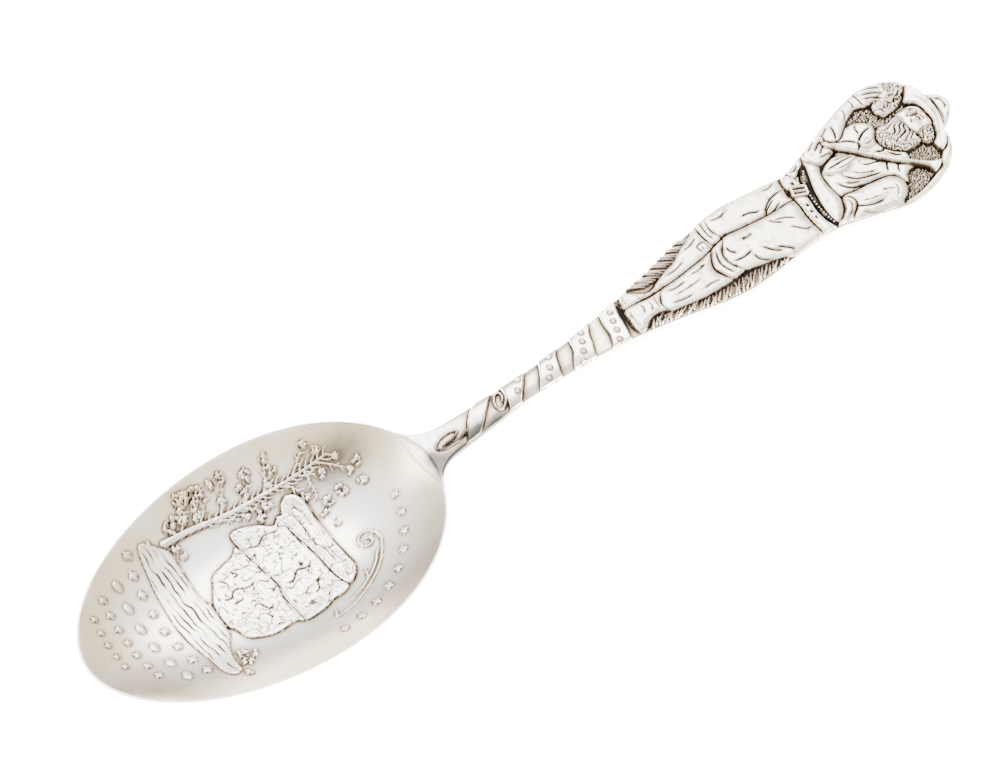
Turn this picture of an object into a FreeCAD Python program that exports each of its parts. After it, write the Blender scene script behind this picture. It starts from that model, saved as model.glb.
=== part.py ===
import FreeCAD, Part
import math
import os

V = FreeCAD.Vector

# ---------------------------------------------------------------------------------------------
# Souvenir spoon, all sizes in mm.  +X runs from the bowl's tip to the hat at the handle's end,
# +Y across, +Z up.  The spoon lies bowl-up on z = 0: the bowl's belly and the back of the
# handle's wide end touch the table.
# ---------------------------------------------------------------------------------------------
LENGTH = 148.0
TIP_X = -LENGTH / 2
END_X = LENGTH / 2
BOWL_CENTRE_X = -45.0          # widest place of the bowl
BOWL_HALF_WIDTH = 16.8
BOWL_TIP_REACH = BOWL_CENTRE_X - TIP_X
BOWL_NECK_REACH = 24.5
BOWL_DEPTH = 6.0
BOWL_WALL = 1.0                # at the belly
RIM_WALL = 0.45                # the wall thins out towards the rim
TIP_FULLNESS = 1.9             # exponents of the egg-shaped rim
NECK_FULLNESS = 2.2
CROSS_FULLNESS = 1.905
HOLLOW_FULLNESS = 1.15         # above 1 the bowl's floor is flatter than a parabola
NECK_START_X = -22.0
NECK_BLEND = 6.0
HOLLOW_END_X = -17.2           # past this the hollow's surface has no part in the neck
STEM_START_X = -12.0
HANDLE_START_X = 13.6
STEM_CROWN = 0.35              # how far the stem's face falls off at its edges
EDGE_INSET = 0.12              # relief stops this far inside the plate's edge
SMOOTH = 0.02
CREASE = 0.2                   # rounding where the bowl's hollow ends at the neck

# rim height over the bowl, and the face and the back of neck, stem and handle plate
RIM_LINE = [(-80, 9.1), (-74, 8.6), (-60, 7.65), (-40, 6.82), (-22, 6.42), (-10, 6.4)]
FACE_LINE = [(-26, 6.45), (-21, 6.45), (-16, 6.42), (-8, 6.38), (0, 6.3), (8, 5.95), (16, 5.35),
             (30, 4.0), (45, 2.6), (58, 1.55), (68, 1.1), (76, 1.25)]
BACK_LINE = [(-26, 5.3), (-21, 5.2), (-16, 4.6), (-8, 4.35), (0, 4.3), (8, 4.15), (16, 3.8),
             (30, 2.7), (45, 1.35), (58, 0.38), (68, -0.02), (76, 0.12)]

# edge of neck, stem and handle: far side, then the end of the handle, then the near side
FAR_EDGE = [(-22, 5.75), (-21.3, 4.55), (-20.5, 3.65), (-19.4, 2.95), (-18, 2.5), (-16, 2.27),
            (-13, 2.1), (-10, 1.97), (-4, 1.88), (2, 2.0), (8, 2.4), (14, 3.2), (20, 4.25),
            (26, 5.6), (30, 6.15), (35, 6.9), (41, 6.5), (46.3, 5.98), (49, 6.5), (55, 8.45),
            (60, 10.05), (64, 10.85), (66.5, 10.75), (68.5, 10.1)]
NUGGET_EDGE = [(68.5, 10.1), (69.6, 9.5), (70.6, 8.7), (71.0, 7.5)]
BRIM_EDGE = [(71.0, 7.5), (71.6, 6.6), (71.85, 5.6), (72.0, 4.5)]
CROWN_EDGE = [(72.0, 4.5), (72.95, 3.85), (73.65, 3.05), (74.0, 2.0), (73.8, 1.0), (73.0, 0.0),
              (71.8, -0.9), (70.2, -1.6)]
NEAR_EDGE = [(70.2, -1.6), (69.9, -3.0), (68.7, -5.0), (66.5, -6.7), (63.5, -7.8), (60, -8.4),
             (57, -8.15), (52, -6.75), (47.5, -5.6), (44, -5.35), (39, -5.75), (32, -6.35),
             (27, -6.0), (20, -4.55), (14, -3.45), (8, -2.6), (2, -2.15), (-4, -1.9), (-10, -1.97),
             (-13, -2.15), (-16, -2.35), (-18, -2.6), (-19.4, -3.05), (-20.5, -3.75), (-21.3, -4.6),
             (-22, -5.75)]

# relief of the handle, highest first: name, height over the face, outline
FIGURE = [
    ("lower_hand", 1.35, [(51, 7), (52, 7.25), (53, 7.6), (54.2, 7.95), (55.2, 7.9), (55.6, 7.5),
                          (55.2, 6.7), (55.3, 5.6), (55.2, 4.9), (54.5, 4.55), (53.3, 4.3),
                          (52, 4.1), (51.2, 4.7), (50.6, 5.9)]),
    ("pick_shaft", 1.25, [(54.3, 6.3), (55.3, 4.9), (57, 3), (58.2, 1.4), (59.3, 0), (60.8, -1.8),
                          (62.3, -3.3), (63.3, -4.5), (63.8, -5.3), (63.9, -6.5), (65.3, -6.1),
                          (66, -5.3), (65.3, -5.1), (64.3, -4.4), (63, -3.1), (61.8, -1.5),
                          (60, 0.7), (58, 3), (56.2, 5.2), (55, 6.7)]),
    ("raised_hand", 1.2, [(64.3, 8.3), (66, 7.9), (66.6, 7.2), (67.8, 7.4), (68.6, 8.2),
                          (68.6, 9.9), (67.5, 10.8), (66, 11.3), (64.4, 11.3)]),
    ("hat_brim", 1.25, [(68.7, 5.5), (69.3, 4.9), (69.9, 4.4), (70.15, 3.6), (70.1, 2.6),
                        (70, 1.5), (69.8, 0.6), (69.3, 0), (68.9, -0.8), (68.5, -1.5), (67.9, -2),
                        (67.2, -2.5), (67.3, -4), (68, -4), (68.8, -3.5), (69.5, -2.6),
                        (70.2, -1.6), (70.8, -0.4), (71.3, 0.7), (71.7, 2), (71.9, 3.2),
                        (71.95, 4.5), (72.1, 5.7), (71.7, 6.8), (71.1, 7.7), (70.2, 6.9),
                        (69.4, 6.2)]),
    ("hat_crown", 1.1, [(71.95, 4.6), (72.6, 4.6), (74.4, 3.6), (74.5, 1.2), (72.6, -0.2),
                        (71, -1.6), (70.2, -1.7), (70.8, -0.4), (71.3, 0.7), (71.7, 2),
                        (71.9, 3.2)]),
    ("ore_nugget", 1.15, [(64.6, 7.3), (64.5, 6.3), (64.9, 5.5), (65.6, 5.3), (66.5, 5.3),
                          (67.3, 5.4), (68, 5.6), (68.7, 5.9), (69.4, 6.3), (70.2, 7),
                          (71, 7.8), (70.9, 8.7), (69.8, 9.6), (68.6, 10.3), (68.2, 8.6),
                          (66.5, 8.2), (65.2, 8)]),
    ("neckerchief_knot", 1.3, [(58.9, 3.2), (59.5, 3.9), (60.6, 3.95), (61.3, 3.3), (60.9, 2.7),
                               (59.7, 2.5)]),
    ("neckerchief_tail", 1.15, [(51.3, 3), (52.5, 3.85), (54.3, 4.3), (55.6, 3.95), (56.6, 3.4),
                                (57.6, 2.7), (56.2, 1.95), (55, 1.6), (54, 1.55), (52.8, 1.75),
                                (51.9, 2.3)]),
    ("beard", 1.2, [(62.2, 4), (61.6, 3.3), (61.3, 2), (61.6, 1), (62.1, 0.2), (62.8, -0.6),
                    (63.5, -1), (64.5, -1.2), (65.5, -1.15), (66.3, -0.9), (66.6, 0.2),
                    (66.3, 1.8), (66.5, 3.2), (66.4, 4.2), (65.6, 4.45), (64.4, 4.2),
                    (63.1, 4.55)]),
    ("hair", 1.05, [(69.25, 0), (68.75, -0.9), (68.2, -1.7), (67.4, -2.1), (66.6, -1.8),
                    (66.3, -0.9), (66.6, 0.1), (67.4, 0.45), (68.3, 0.5)]),
    ("face", 1.1, [(66.2, 4.4), (67.2, 4.85), (68.6, 4.8), (69.6, 4.3), (70.05, 3.4), (70, 1.6),
                   (69.7, 0.6), (69.2, 0), (68, 0), (66.6, 0.2), (66.2, 1.5)]),
    ("pick_head", 0.85, [(69.8, -1.9), (69.2, -3), (68.3, -4), (67.3, -4.3), (66.2, -5.2),
                         (65.2, -5.95), (63.9, -6.65), (62, -7.2), (60, -7.6), (57, -7.9),
                         (56.9, -9.2), (62, -9.3), (66, -8), (69.3, -5.8), (71.3, -2.2)]),
    ("rolled_cuff", 1.3, [(50.1, -2.6), (50.8, -1.7), (51.6, -2.5), (51.7, -3.4), (51.1, -4.3),
                          (50, -5.1), (48.5, -6.4), (47, -6.2), (47.2, -4.9), (48, -4.8),
                          (48.6, -4.4), (49.5, -3.6)]),
    ("forearm", 1.2, [(50.7, 6.6), (50, 5), (49.3, 3.5), (48.5, 2), (48, 0.5), (47.5, -1),
                      (47.2, -2.5), (47.1, -4), (47.2, -5), (48, -4.8), (48.6, -4.4),
                      (49.5, -3.6), (50.1, -2.6), (50.5, -1.6), (50.6, 0.5), (50.8, 2),
                      (51.3, 3.4), (52, 4.3), (51.6, 5.4)]),
    ("upper_sleeve", 1.1, [(51.5, -1.5), (53, -1.8), (55, -2), (57, -2.3), (58.5, -2.7),
                           (59.3, -3.4), (59.6, -4.4), (59.5, -5.3), (59, -6.2), (58, -7),
                           (57, -7.7), (56.8, -9), (54, -8.3), (51, -7.4), (48.6, -6.6),
                           (50, -5.1), (51.1, -4.3), (51.7, -3.4), (51.6, -2.5), (50.95, -1.7)]),
    ("raised_arm", 1.0, [(50.8, 7.9), (54.3, 8.2), (55.5, 6.9), (56.1, 6.1), (57, 6), (58, 6.3),
                         (59, 6.9), (60.2, 7.8), (61.5, 8.3), (62.5, 8.65), (63.4, 8.5),
                         (64.5, 8.3), (64.4, 11.6), (60, 11.2), (55, 9.6)]),
    ("belt_buckle", 1.35, [(45.2, 1.8), (45.2, 3.15), (47.9, 3.15), (47.9, 1.8)]),
    ("belt_tongue", 1.2, [(45.6, 3.3), (45.4, 4.2), (45.7, 5.2), (46.3, 5.65), (47.1, 5.2),
                          (47.6, 4.2), (47.6, 3.3), (46.6, 3.2)]),
    ("belt", 1.1, [(45.3, 2.2), (45.1, 0.5), (44.8, -1), (44.6, -2.5), (44.5, -4), (44.5, -6.2),
                   (46.6, -6.2), (46.25, -3.5), (46.3, -2), (46.45, -0.8), (46.7, 0), (47, 1.3),
                   (47.2, 2.2)]),
    ("cartridge_belt", 0.95, [(49.9, 5.7), (49.1, 5.2), (48.2, 4.2), (47.5, 2.9), (46.9, 1),
                              (46.6, -0.5), (46.4, -2.2), (46.4, -3.8), (46.5, -6.2),
                              (47.4, -6.2), (47.2, -3.9), (47.3, -2.4), (47.6, -0.8), (48, 0.7),
                              (48.7, 2.4), (49.4, 3.8), (50.2, 5.3)]),
    ("shirt_waist", 0.9, [(47.1, 3), (47.6, 4.3), (47.2, 6.6), (49.5, 7.6), (51.2, 7.8),
                          (50.9, 6.6), (50, 5.6), (49.1, 5.1), (48.2, 4.2), (47.6, 3.1)]),
    ("shirt_front", 0.95, [(50.8, 2.4), (52, 3.6), (54.8, 4.6), (56, 5.3), (58, 2.9), (60, 0.6),
                           (61.7, -1.4), (63, -2.8), (62.8, -3.7), (61.7, -3.7), (60.8, -4.2),
                           (59.9, -5.2), (59.3, -3.5), (58.4, -2.7), (57, -2.3), (55, -2),
                           (53, -1.8), (51.5, -1.5), (50.7, -1)]),
    ("shirt_collar", 0.95, [(55.4, 6.7), (57, 6), (58, 6.3), (59, 7), (60.5, 7.15), (61.5, 6.8),
                            (62.4, 6.1), (62.8, 5.2), (62.2, 4.1), (61.4, 3), (61.4, 1.6),
                            (62.2, 0.2), (63.3, -1), (62.8, -2.3), (61.5, -1.4), (59.6, 0.8),
                            (57.6, 3.3), (55.8, 5.5)]),
    ("near_knee_cuff", 1.25, [(30, 1.9), (28.8, 0.3), (28.45, -0.8), (28.8, -2.2), (29.3, -3.5),
                              (30.5, -3.5), (31.6, -3.2), (30.9, -1.9), (30.6, -0.5),
                              (31, 0.9), (32.5, 2.4), (31.4, 2.4)]),
    ("near_boot", 1.15, [(14, 1.1), (16, 1.15), (18, 0.9), (20.1, 0.9), (19.1, -0.2),
                         (18.7, -1), (18.8, -2.1), (17.6, -1.8), (16.5, -1.85), (15.7, -2.1),
                         (15, -2.6), (14.5, -3), (13.85, -3.3), (13.4, -3), (13.3, -2),
                         (13.5, -0.8)]),
    ("near_calf", 1.05, [(20.1, 0.95), (22, 1.1), (24, 1.25), (26, 1.5), (28, 1.7), (30, 1.95),
                         (28.8, 0.3), (28.45, -0.8), (28.8, -2.2), (29.3, -3.45), (28, -3.6),
                         (26, -3.6), (24, -3.5), (22, -3.2), (20.5, -2.9), (19.3, -2.7),
                         (18.8, -2), (18.7, -1), (19.1, -0.2)]),
    ("near_thigh", 1.1, [(45.1, 1.9), (42.5, 2.1), (39.8, 2.15), (36, 2.55), (33, 2.8),
                         (31.5, 1.5), (30.8, 0.4), (30.6, -0.6), (30.9, -1.9), (31.6, -3.2),
                         (34, -3.9), (37, -4.7), (39.5, -5.9), (44.4, -6.4), (44.4, -4),
                         (44.6, -1)]),
    ("far_knee_cuff", 1.15, [(31, 7.1), (30.7, 5.2), (30.7, 3.8), (30.9, 2.6), (32.6, 2.9),
                             (32.2, 4.2), (32.3, 5.2), (33.1, 7.4), (32, 7.6)]),
    ("far_boot", 1.0, [(14.2, 1.3), (14.3, 2.2), (14.8, 3.05), (15.7, 3.2), (16.4, 2.8),
                       (17.2, 2.3), (18.1, 1.8), (19.2, 1.7), (20.6, 2.2), (20.9, 1.25),
                       (18.5, 1.15), (16.3, 1.25)]),
    ("far_calf", 0.9, [(20.5, 2.15), (21.5, 2.6), (23, 3.1), (24.4, 3.4), (26, 4.2), (28, 5),
                       (30, 5.8), (31, 6.6), (30.7, 5.2), (30.7, 3.8), (31, 2.6), (29, 2),
                       (27, 1.65), (24, 1.35), (20.9, 1.25)]),
    ("far_thigh", 0.95, [(45.1, 1.95), (44.9, 3), (45.2, 4.2), (45.5, 5.6), (46.3, 7),
                         (42, 7.8), (38, 8), (35, 8), (33.1, 7.6), (32.3, 5.4), (32.2, 4),
                         (32.7, 2.95), (36, 2.65), (39.8, 2.25), (42.5, 2.15)]),
]

# slanted ribbon wound round the stem: corner points of each visible band
RIBBON_HEIGHT = 0.42
RIBBON = [
    ("ribbon_band_1", [(-6.9, 2.5), (-2.4, 2.5), (-2.7, 1.8), (-4, 0.2), (-5.5, -1.3),
                       (-6.6, -2.6), (-8.4, -2.6), (-7.6, -1.2), (-7.2, 0), (-6.8, 1.2)]),
    ("ribbon_band_2", [(-0.2, 2.6), (3.4, 2.8), (3, 1.9), (2, 0.7), (1.2, -1), (0, -2.9),
                       (-3.6, -2.7), (-2.8, -1.7), (-1.3, 0.3), (-0.5, 1.7)]),
    ("ribbon_band_3", [(5.6, 3.1), (9.5, 3.4), (9, 2.4), (7.8, 0.8), (7, -1), (5.4, -3.3),
                       (1.9, -3.1), (2.6, -2.3), (3.5, -1), (4.3, 0), (5.1, 2)]),
    ("ribbon_band_4", [(10.9, 3.6), (14.2, 4), (13.8, 2.8), (13, 1), (12.2, -2), (11.2, -3.9),
                       (8, -3.6), (8.7, -3), (9.8, -1), (10.2, 1), (10.8, 2.6)]),
    ("ribbon_curl", [(-9, -0.5), (-8.5, 0.8), (-7.6, 1.75), (-7.0, 1.7), (-7.1, 0.9),
                     (-7.5, 0), (-7.9, -1)]),
    ("ribbon_tail", [(-9.6, 2.4), (-11.2, 1.9), (-12.2, 1.5), (-13.3, 0.6), (-14.4, -0.4),
                     (-15.6, -0.8), (-16.6, -0.6), (-17.2, 0), (-16.9, 0.7), (-16.2, 1),
                     (-17.2, 1.25), (-18.2, 0.85), (-18.7, 0), (-18.5, -1), (-17.6, -1.6),
                     (-16.2, -1.9), (-14.5, -2.05), (-13.3, -1.8), (-12, -1.2), (-10.5, -0.1),
                     (-9.5, 0.8), (-8, 2.3)]),
]

# scene struck into the bowl; its "up" points along +X
SCENE = [
    ("balanced_rock", 0.5, [(-40.2, 6.5), (-39.3, 6.6), (-38.8, 7.4), (-38, 8.1), (-37.2, 8.2),
                            (-36.5, 7.8), (-36, 7), (-35.9, 5.5), (-36.2, 3), (-36.3, 0),
                            (-36.4, -3), (-36.5, -5), (-37, -6), (-38, -6.9), (-38.9, -7),
                            (-39.3, -5), (-39.2, 0), (-39.6, 3)]),
    ("rock_block", 0.42, [(-39.5, 5.9), (-40.2, 6.5), (-40.8, 6.1), (-41.5, 6.3), (-42.3, 7),
                          (-43.5, 7.7), (-45, 8.2), (-46, 8.3), (-46.5, 8), (-46.6, 6.6),
                          (-46, 2), (-45.7, -1), (-46.3, -3), (-46.5, -7), (-46.2, -8.1),
                          (-43.5, -8.1), (-42, -7.7), (-40, -7.7), (-39.1, -7.1), (-39.4, -5),
                          (-39.4, 0), (-39.8, 3)]),
    ("rock_foot", 0.36, [(-54.3, 1), (-53.5, 2.5), (-52.5, 3.8), (-51.8, 4.8), (-50, 5.3),
                         (-48, 5.7), (-46.8, 6.3), (-46.2, 2), (-45.9, -1), (-46.5, -3),
                         (-46.7, -7.6), (-47.3, -7.3), (-48, -7.1), (-50, -7.2), (-51.5, -6.9),
                         (-53, -6.1), (-53.8, -5.4), (-54.2, -3.5), (-54.7, -2.2)]),
    ("ground_ridge", 0.26, [(-57.5, 12.5), (-58.8, 9), (-59.7, 5), (-60.2, 1), (-60.2, -2),
                            (-59.9, -5), (-59.8, -8), (-59, -9.8), (-57.8, -9.5), (-57.5, -7.5),
                            (-57, -6), (-56.3, -4.8), (-55.3, -3.5), (-54.9, -1.5), (-54.6, 1),
                            (-54.9, 3), (-54.9, 5), (-54.6, 8), (-54.4, 9.5), (-55, 10.8)]),
]
FOLIAGE_HEIGHT = 0.34
FOLIAGE = [(-49.5, 14.6, 1.0), (-47.5, 14.4, 1.3), (-50.9, 12.9, 1.0), (-48.7, 12.4, 0.8),
           (-52.6, 12.4, 0.8), (-44.8, 14.4, 0.5), (-43.2, 14.3, 0.7), (-44.8, 12.0, 0.6),
           (-41.6, 12.1, 0.6), (-40.2, 13.0, 0.8), (-37.0, 13.4, 0.7), (-36.9, 11.8, 0.6),
           (-38.3, 10.7, 0.5), (-41.6, 8.0, 0.6), (-40.0, 8.6, 0.7), (-43.2, 8.9, 0.45),
           (-31.8, 11.8, 0.5), (-30.9, 10.3, 0.5), (-29.3, 8.2, 0.4), (-31.8, 7.5, 0.6),
           (-35.0, 6.4, 0.4), (-34.7, 3.4, 0.45), (-33.3, 4.4, 0.7), (-34.2, 1.5, 0.6),
           (-31.2, 4.4, 0.8), (-27.4, 5.9, 0.6), (-28.9, 5.5, 0.5), (-28.4, 3.6, 0.7)]
SHRUB_HEIGHT = 0.32
SHRUBS = [(-56.0, -7.2, 0.75), (-56.3, -8.8, 0.7), (-54.9, -8.1, 0.55), (-57.4, -10.6, 0.5),
          (-56.6, 11.8, 0.7), (-53.6, 10.0, 0.6), (-53.2, 8.8, 0.5)]
TRUNK_HEIGHT = 0.3
TRUNK_LINE = [(-54.6, 11.3), (-50, 11.1), (-45, 10.4), (-40, 10), (-35, 9.5), (-30, 9.1)]
TRUNK_WIDE = 0.75
TRUNK_THIN = 0.3
BRANCH_HEIGHT = 0.24
BRANCH_WIDTH = 0.3
BRANCHES = [[(-51.6, 11.5), (-49.6, 13.5)], [(-48.8, 11.2), (-46.2, 13.6)],
            [(-45.8, 10.8), (-43.6, 13.5)], [(-46.5, 10.3), (-43.9, 9.1)],
            [(-42.4, 10.5), (-40.6, 12.1)], [(-42.8, 9.9), (-41.2, 8.7)],
            [(-39.2, 10.2), (-37.4, 12.7)], [(-35.0, 9.8), (-32.4, 11.4)],
            [(-36.5, 9.3), (-35.2, 6.9)], [(-34.4, 9.1), (-32.5, 8.1)],
            [(-33.6, 9.0), (-34.3, 5.2)], [(-31.4, 8.9), (-29.0, 6.2)]]
SCROLL_HEIGHT = 0.24
SCROLL_WIDTH = 0.3
SCROLL_LINES = [[(-33.2, -3.1), (-32.6, -3.3), (-32.7, -4.0), (-33.5, -4.2), (-34.1, -3.6),
                 (-34.0, -2.6), (-33.0, -2.1), (-31.9, -2.7), (-31.6, -4.0), (-32.1, -5.2),
                 (-34, -7.3), (-36, -8.6), (-38.5, -9.7), (-41, -10.4), (-43.5, -10.6)],
                [(-33.2, -5.6), (-34.6, -7.0), (-36.2, -8.0), (-38.4, -8.9), (-40.4, -9.4)]]
SCROLL_TWIGS = [[(-36.6, -8.0), (-36.0, -6.6)], [(-43.4, -10.3), (-42.8, -9.2)]]

# plain beads and lozenges round the scene: centres and radius of each row
ORNAMENT_HEIGHT = 0.28
ORNAMENT_ROWS = [
    ("border_beads_inner", 0.5, [(-59.6, 12.0), (-60.5, 9.6), (-61.1, 7.0), (-61.5, 4.2),
                                 (-61.8, 1.4), (-61.8, -1.4), (-61.6, -4.2), (-61.2, -6.8)]),
    ("border_lozenges", 0.62, [(-63.2, 9.2), (-63.8, 6.2), (-64.2, 3.1), (-64.4, 0.0),
                               (-64.2, -3.1), (-63.8, -6.2)]),
    ("border_beads_middle", 0.42, [(-66.0, 8.4), (-66.4, 6.3), (-66.7, 4.2), (-66.9, 2.1),
                                   (-67.0, 0.0), (-66.9, -2.1), (-66.7, -4.2)]),
    ("border_beads_outer", 0.36, [(-68.6, 6.6), (-69.0, 4.7), (-69.3, 2.8), (-69.4, 0.9),
                                  (-69.4, -0.9)]),
    ("border_beads_side", 0.45, [(-26.6, -1.0), (-27.6, -3.6), (-29.1, -6.0), (-31.0, -8.2),
                                 (-33.3, -10.1), (-35.9, -11.5), (-38.6, -12.4), (-41.4, -12.9),
                                 (-44.2, -13.0)]),
]

# short blades of grass beside the legs: root, tip
GRASS_HEIGHT = 0.5
BLADE_WIDTH = 0.34
GRASS_FAR = [[(16.9, 3.4), (18.6, 2.7)], [(18.3, 3.8), (19.9, 2.9)], [(20.2, 4.1), (21.6, 3.2)],
             [(21.8, 4.5), (23.2, 3.7)], [(23.6, 4.9), (24.9, 4.1)], [(25.2, 5.3), (26.4, 4.7)],
             [(26.8, 5.6), (27.9, 5.2)]]
GRASS_NEAR = [[(15.8, -3.4), (17.0, -2.4)], [(17.4, -3.8), (18.6, -2.8)],
              [(19.2, -4.1), (20.5, -3.3)], [(21.0, -4.5), (22.3, -3.6)],
              [(22.8, -5.0), (24.1, -4.0)], [(24.6, -5.3), (25.9, -4.1)],
              [(26.4, -5.6), (27.8, -4.2)], [(28.4, -5.9), (29.8, -4.1)],
              [(30.4, -6.0), (31.9, -4.2)], [(32.4, -6.0), (33.8, -4.4)],
              [(34.4, -5.9), (35.6, -4.7)], [(36.4, -5.7), (37.4, -5.1)]]
CARTRIDGES = [(49.35, 4.7), (48.75, 4.0), (48.2, 3.2), (47.75, 2.2), (47.35, 1.1), (47.1, 0.0),
              (46.95, -1.1), (46.85, -2.2), (46.8, -3.3), (46.85, -4.4)]
CARTRIDGE_R = 0.27
CARTRIDGE_HEIGHT = 1.25
BUCKLE_SLOT = [(45.9, 2.15), (45.9, 2.8), (47.3, 2.8), (47.3, 2.15)]
SMALLEST_PIECE = 0.03          # mm3, slivers left by the trimming are dropped


def spline_at(points, x):
    """Smooth curve through points (x, z), read at x (Catmull-Rom)."""
    i = 0
    while i < len(points) - 2 and x > points[i + 1][0]:
        i += 1
    x0, z0 = points[i]
    x1, z1 = points[i + 1]
    before = points[max(i - 1, 0)]
    after = points[min(i + 2, len(points) - 1)]
    slope0 = (z1 - before[1]) / (x1 - before[0])
    slope1 = (after[1] - z0) / (after[0] - x0)
    s = (x - x0) / (x1 - x0)
    h = x1 - x0
    a = (2 * s ** 3 - 3 * s ** 2 + 1) * z0 + (s ** 3 - 2 * s ** 2 + s) * h * slope0
    return a + (3 * s ** 2 - 2 * s ** 3) * z1 + (s ** 3 - s ** 2) * h * slope1


def soft_power(t, power):
    """|t| ** power with its sharp bottom rounded."""
    return (t * t + SMOOTH) ** (power / 2) - SMOOTH ** (power / 2)


def egg_level(x, y):
    """0 at the bowl's centre, 1 on its rim."""
    if x < BOWL_CENTRE_X:
        along = soft_power((BOWL_CENTRE_X - x) / BOWL_TIP_REACH, TIP_FULLNESS)
    else:
        along = soft_power((x - BOWL_CENTRE_X) / BOWL_NECK_REACH, NECK_FULLNESS)
    return along + soft_power(y / BOWL_HALF_WIDTH, CROSS_FULLNESS)


def bowl_face(x, y):
    """Height of the inside of the bowl."""
    return spline_at(RIM_LINE, x) - BOWL_DEPTH * (1 - egg_level(x, y) ** HOLLOW_FULLNESS)


def bowl_back(x, y):
    """Height of the outside of the bowl, one wall thickness below the inside."""
    d = 0.05
    sx = (bowl_face(x + d, y) - bowl_face(x - d, y)) / (2 * d)
    sy = (bowl_face(x, y + d) - bowl_face(x, y - d)) / (2 * d)
    wall = BOWL_WALL + (RIM_WALL - BOWL_WALL) * min(egg_level(x, y), 1) ** 2
    return bowl_face(x, y) - wall * math.sqrt(1 + sx * sx + sy * sy)


def handle_half_width(x):
    """Rough half width of neck and stem, used for the crown of their face."""
    return 1.9 + 0.0085 * (x + 4) ** 2 if x < 14 else 4.7


def blend(x):
    """0 at the bowl's edge, 1 where the neck has become the stem."""
    s = min(max((x - NECK_START_X) / NECK_BLEND, 0), 1)
    return s * s * (3 - 2 * s)


def stem_face(x, y):
    """Height of the front of neck, stem and handle plate: the lower of stem and hollow."""
    crown = STEM_CROWN * blend(x) * (1 - min(max((x - 4) / 12, 0), 1))
    plain = spline_at(FACE_LINE, x) - crown * (y / handle_half_width(x)) ** 2
    hollow = bowl_face(min(x, HOLLOW_END_X), y)
    return (plain + hollow - math.sqrt((plain - hollow) ** 2 + CREASE ** 2)) / 2


def stem_back(x, y):
    """Height of the back of neck, stem and handle plate."""
    crown = STEM_CROWN * (1 - min(max((x - 4) / 12, 0), 1))
    plain = spline_at(BACK_LINE, x) + crown * (y / handle_half_width(x)) ** 2
    s = blend(x)
    return (1 - s) * bowl_back(NECK_START_X, y) + s * plain


def sheet(height, x0, x1, y0, y1, nx, ny, lift):
    """Smooth face z = height(x, y) + lift over a rectangle."""
    stations = [x0 + (x1 - x0) * i / nx for i in range(nx + 1)]
    if x0 == NECK_START_X:
        fine = [x0 + (HOLLOW_END_X - x0) * i / FINE_STEPS for i in range(FINE_STEPS)]
        stations = fine + [x for x in stations if x > HOLLOW_END_X]
    rows = []
    for x in stations:
        row = []
        for j in range(ny + 1):
            y = y0 + (y1 - y0) * j / ny
            row.append(V(x, y, height(x, y) + lift))
        rows.append(row)
    surface = Part.BSplineSurface()
    surface.interpolate(rows)
    return surface.toShape()


def side_edge(face, axis, value):
    """The boundary edge of a sheet that lies in the plane axis = value."""
    for edge in face.Edges:
        ends = [edge.Vertexes[0].Point, edge.Vertexes[-1].Point]
        if all(abs(getattr(p, axis) - value) < 1e-4 for p in ends):
            return edge
    raise ValueError("sheet has no such edge")


def block(low, high, x0, x1, y0, y1):
    """Solid between two sheets over the same rectangle."""
    walls = []
    for axis, value in (("x", x0), ("x", x1), ("y", y0), ("y", y1)):
        walls.append(Part.makeRuledSurface(side_edge(low, axis, value), side_edge(high, axis, value)))
    shell = Part.makeShell([low, high] + walls)
    shell.sewShape()
    solid = Part.Solid(shell)
    if solid.Volume < 0:
        solid.reverse()
    return solid


BOWL_BOX = (-77.0, NECK_START_X, -20.0, 20.0, 24, 18)
STEM_BOX = (NECK_START_X, 77.0, -14.0, 14.0, 42, 8)
FINE_STEPS = 8                 # closer stations where the hollow runs out into the neck


def region(low_height, high_height, box, lift_low, lift_high):
    low = sheet(low_height, *box, lift_low)
    high = sheet(high_height, *box, lift_high)
    return block(low, high, *box[:4])


def curve(points):
    line = Part.BSplineCurve()
    line.interpolate([V(x, y, 0) for x, y in points])
    return line.toShape()


def face_of(edges):
    return Part.Face(Part.Wire(Part.sortEdges(edges)[0]))


def smooth_face(points):
    """Flat face inside a closed smooth curve through the points."""
    line = Part.BSplineCurve()
    line.interpolate(Points=[V(x, y, 0) for x, y in points], PeriodicFlag=True)
    return Part.Face(Part.Wire([line.toShape()]))


def corner_face(points):
    corners = [V(x, y, 0) for x, y in points]
    return Part.Face(Part.makePolygon(corners + corners[:1]))


def disc_face(x, y, radius):
    return Part.Face(Part.Wire([Part.makeCircle(radius, V(x, y, 0))]))


def strip_face(points, wide, thin):
    """Flat face along a line, tapering from wide to thin."""
    left = []
    right = []
    last = len(points) - 1
    for i, (x, y) in enumerate(points):
        ax, ay = points[max(i - 1, 0)]
        bx, by = points[min(i + 1, last)]
        size = math.hypot(bx - ax, by - ay)
        half = (wide + (thin - wide) * i / last) / 2
        nx = -(by - ay) / size * half
        ny = (bx - ax) / size * half
        left.append((x + nx, y + ny))
        right.append((x - nx, y - ny))
    return corner_face(left + right[::-1])


def prism(flat):
    """Tall prism on a flat face, from below the table to above the spoon."""
    tall = flat.copy()
    tall.translate(V(0, 0, -5))
    return tall.extrude(V(0, 0, 25))


def solids_of(shape):
    return [s for s in shape.Solids if s.Volume > SMALLEST_PIECE]


def save(name, solids):
    """Write one node, a single solid or a group of loose ones."""
    shape = solids[0] if len(solids) == 1 else Part.makeCompound(solids)
    shape.exportStep("parts/" + name + ".step")
    return shape


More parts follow.
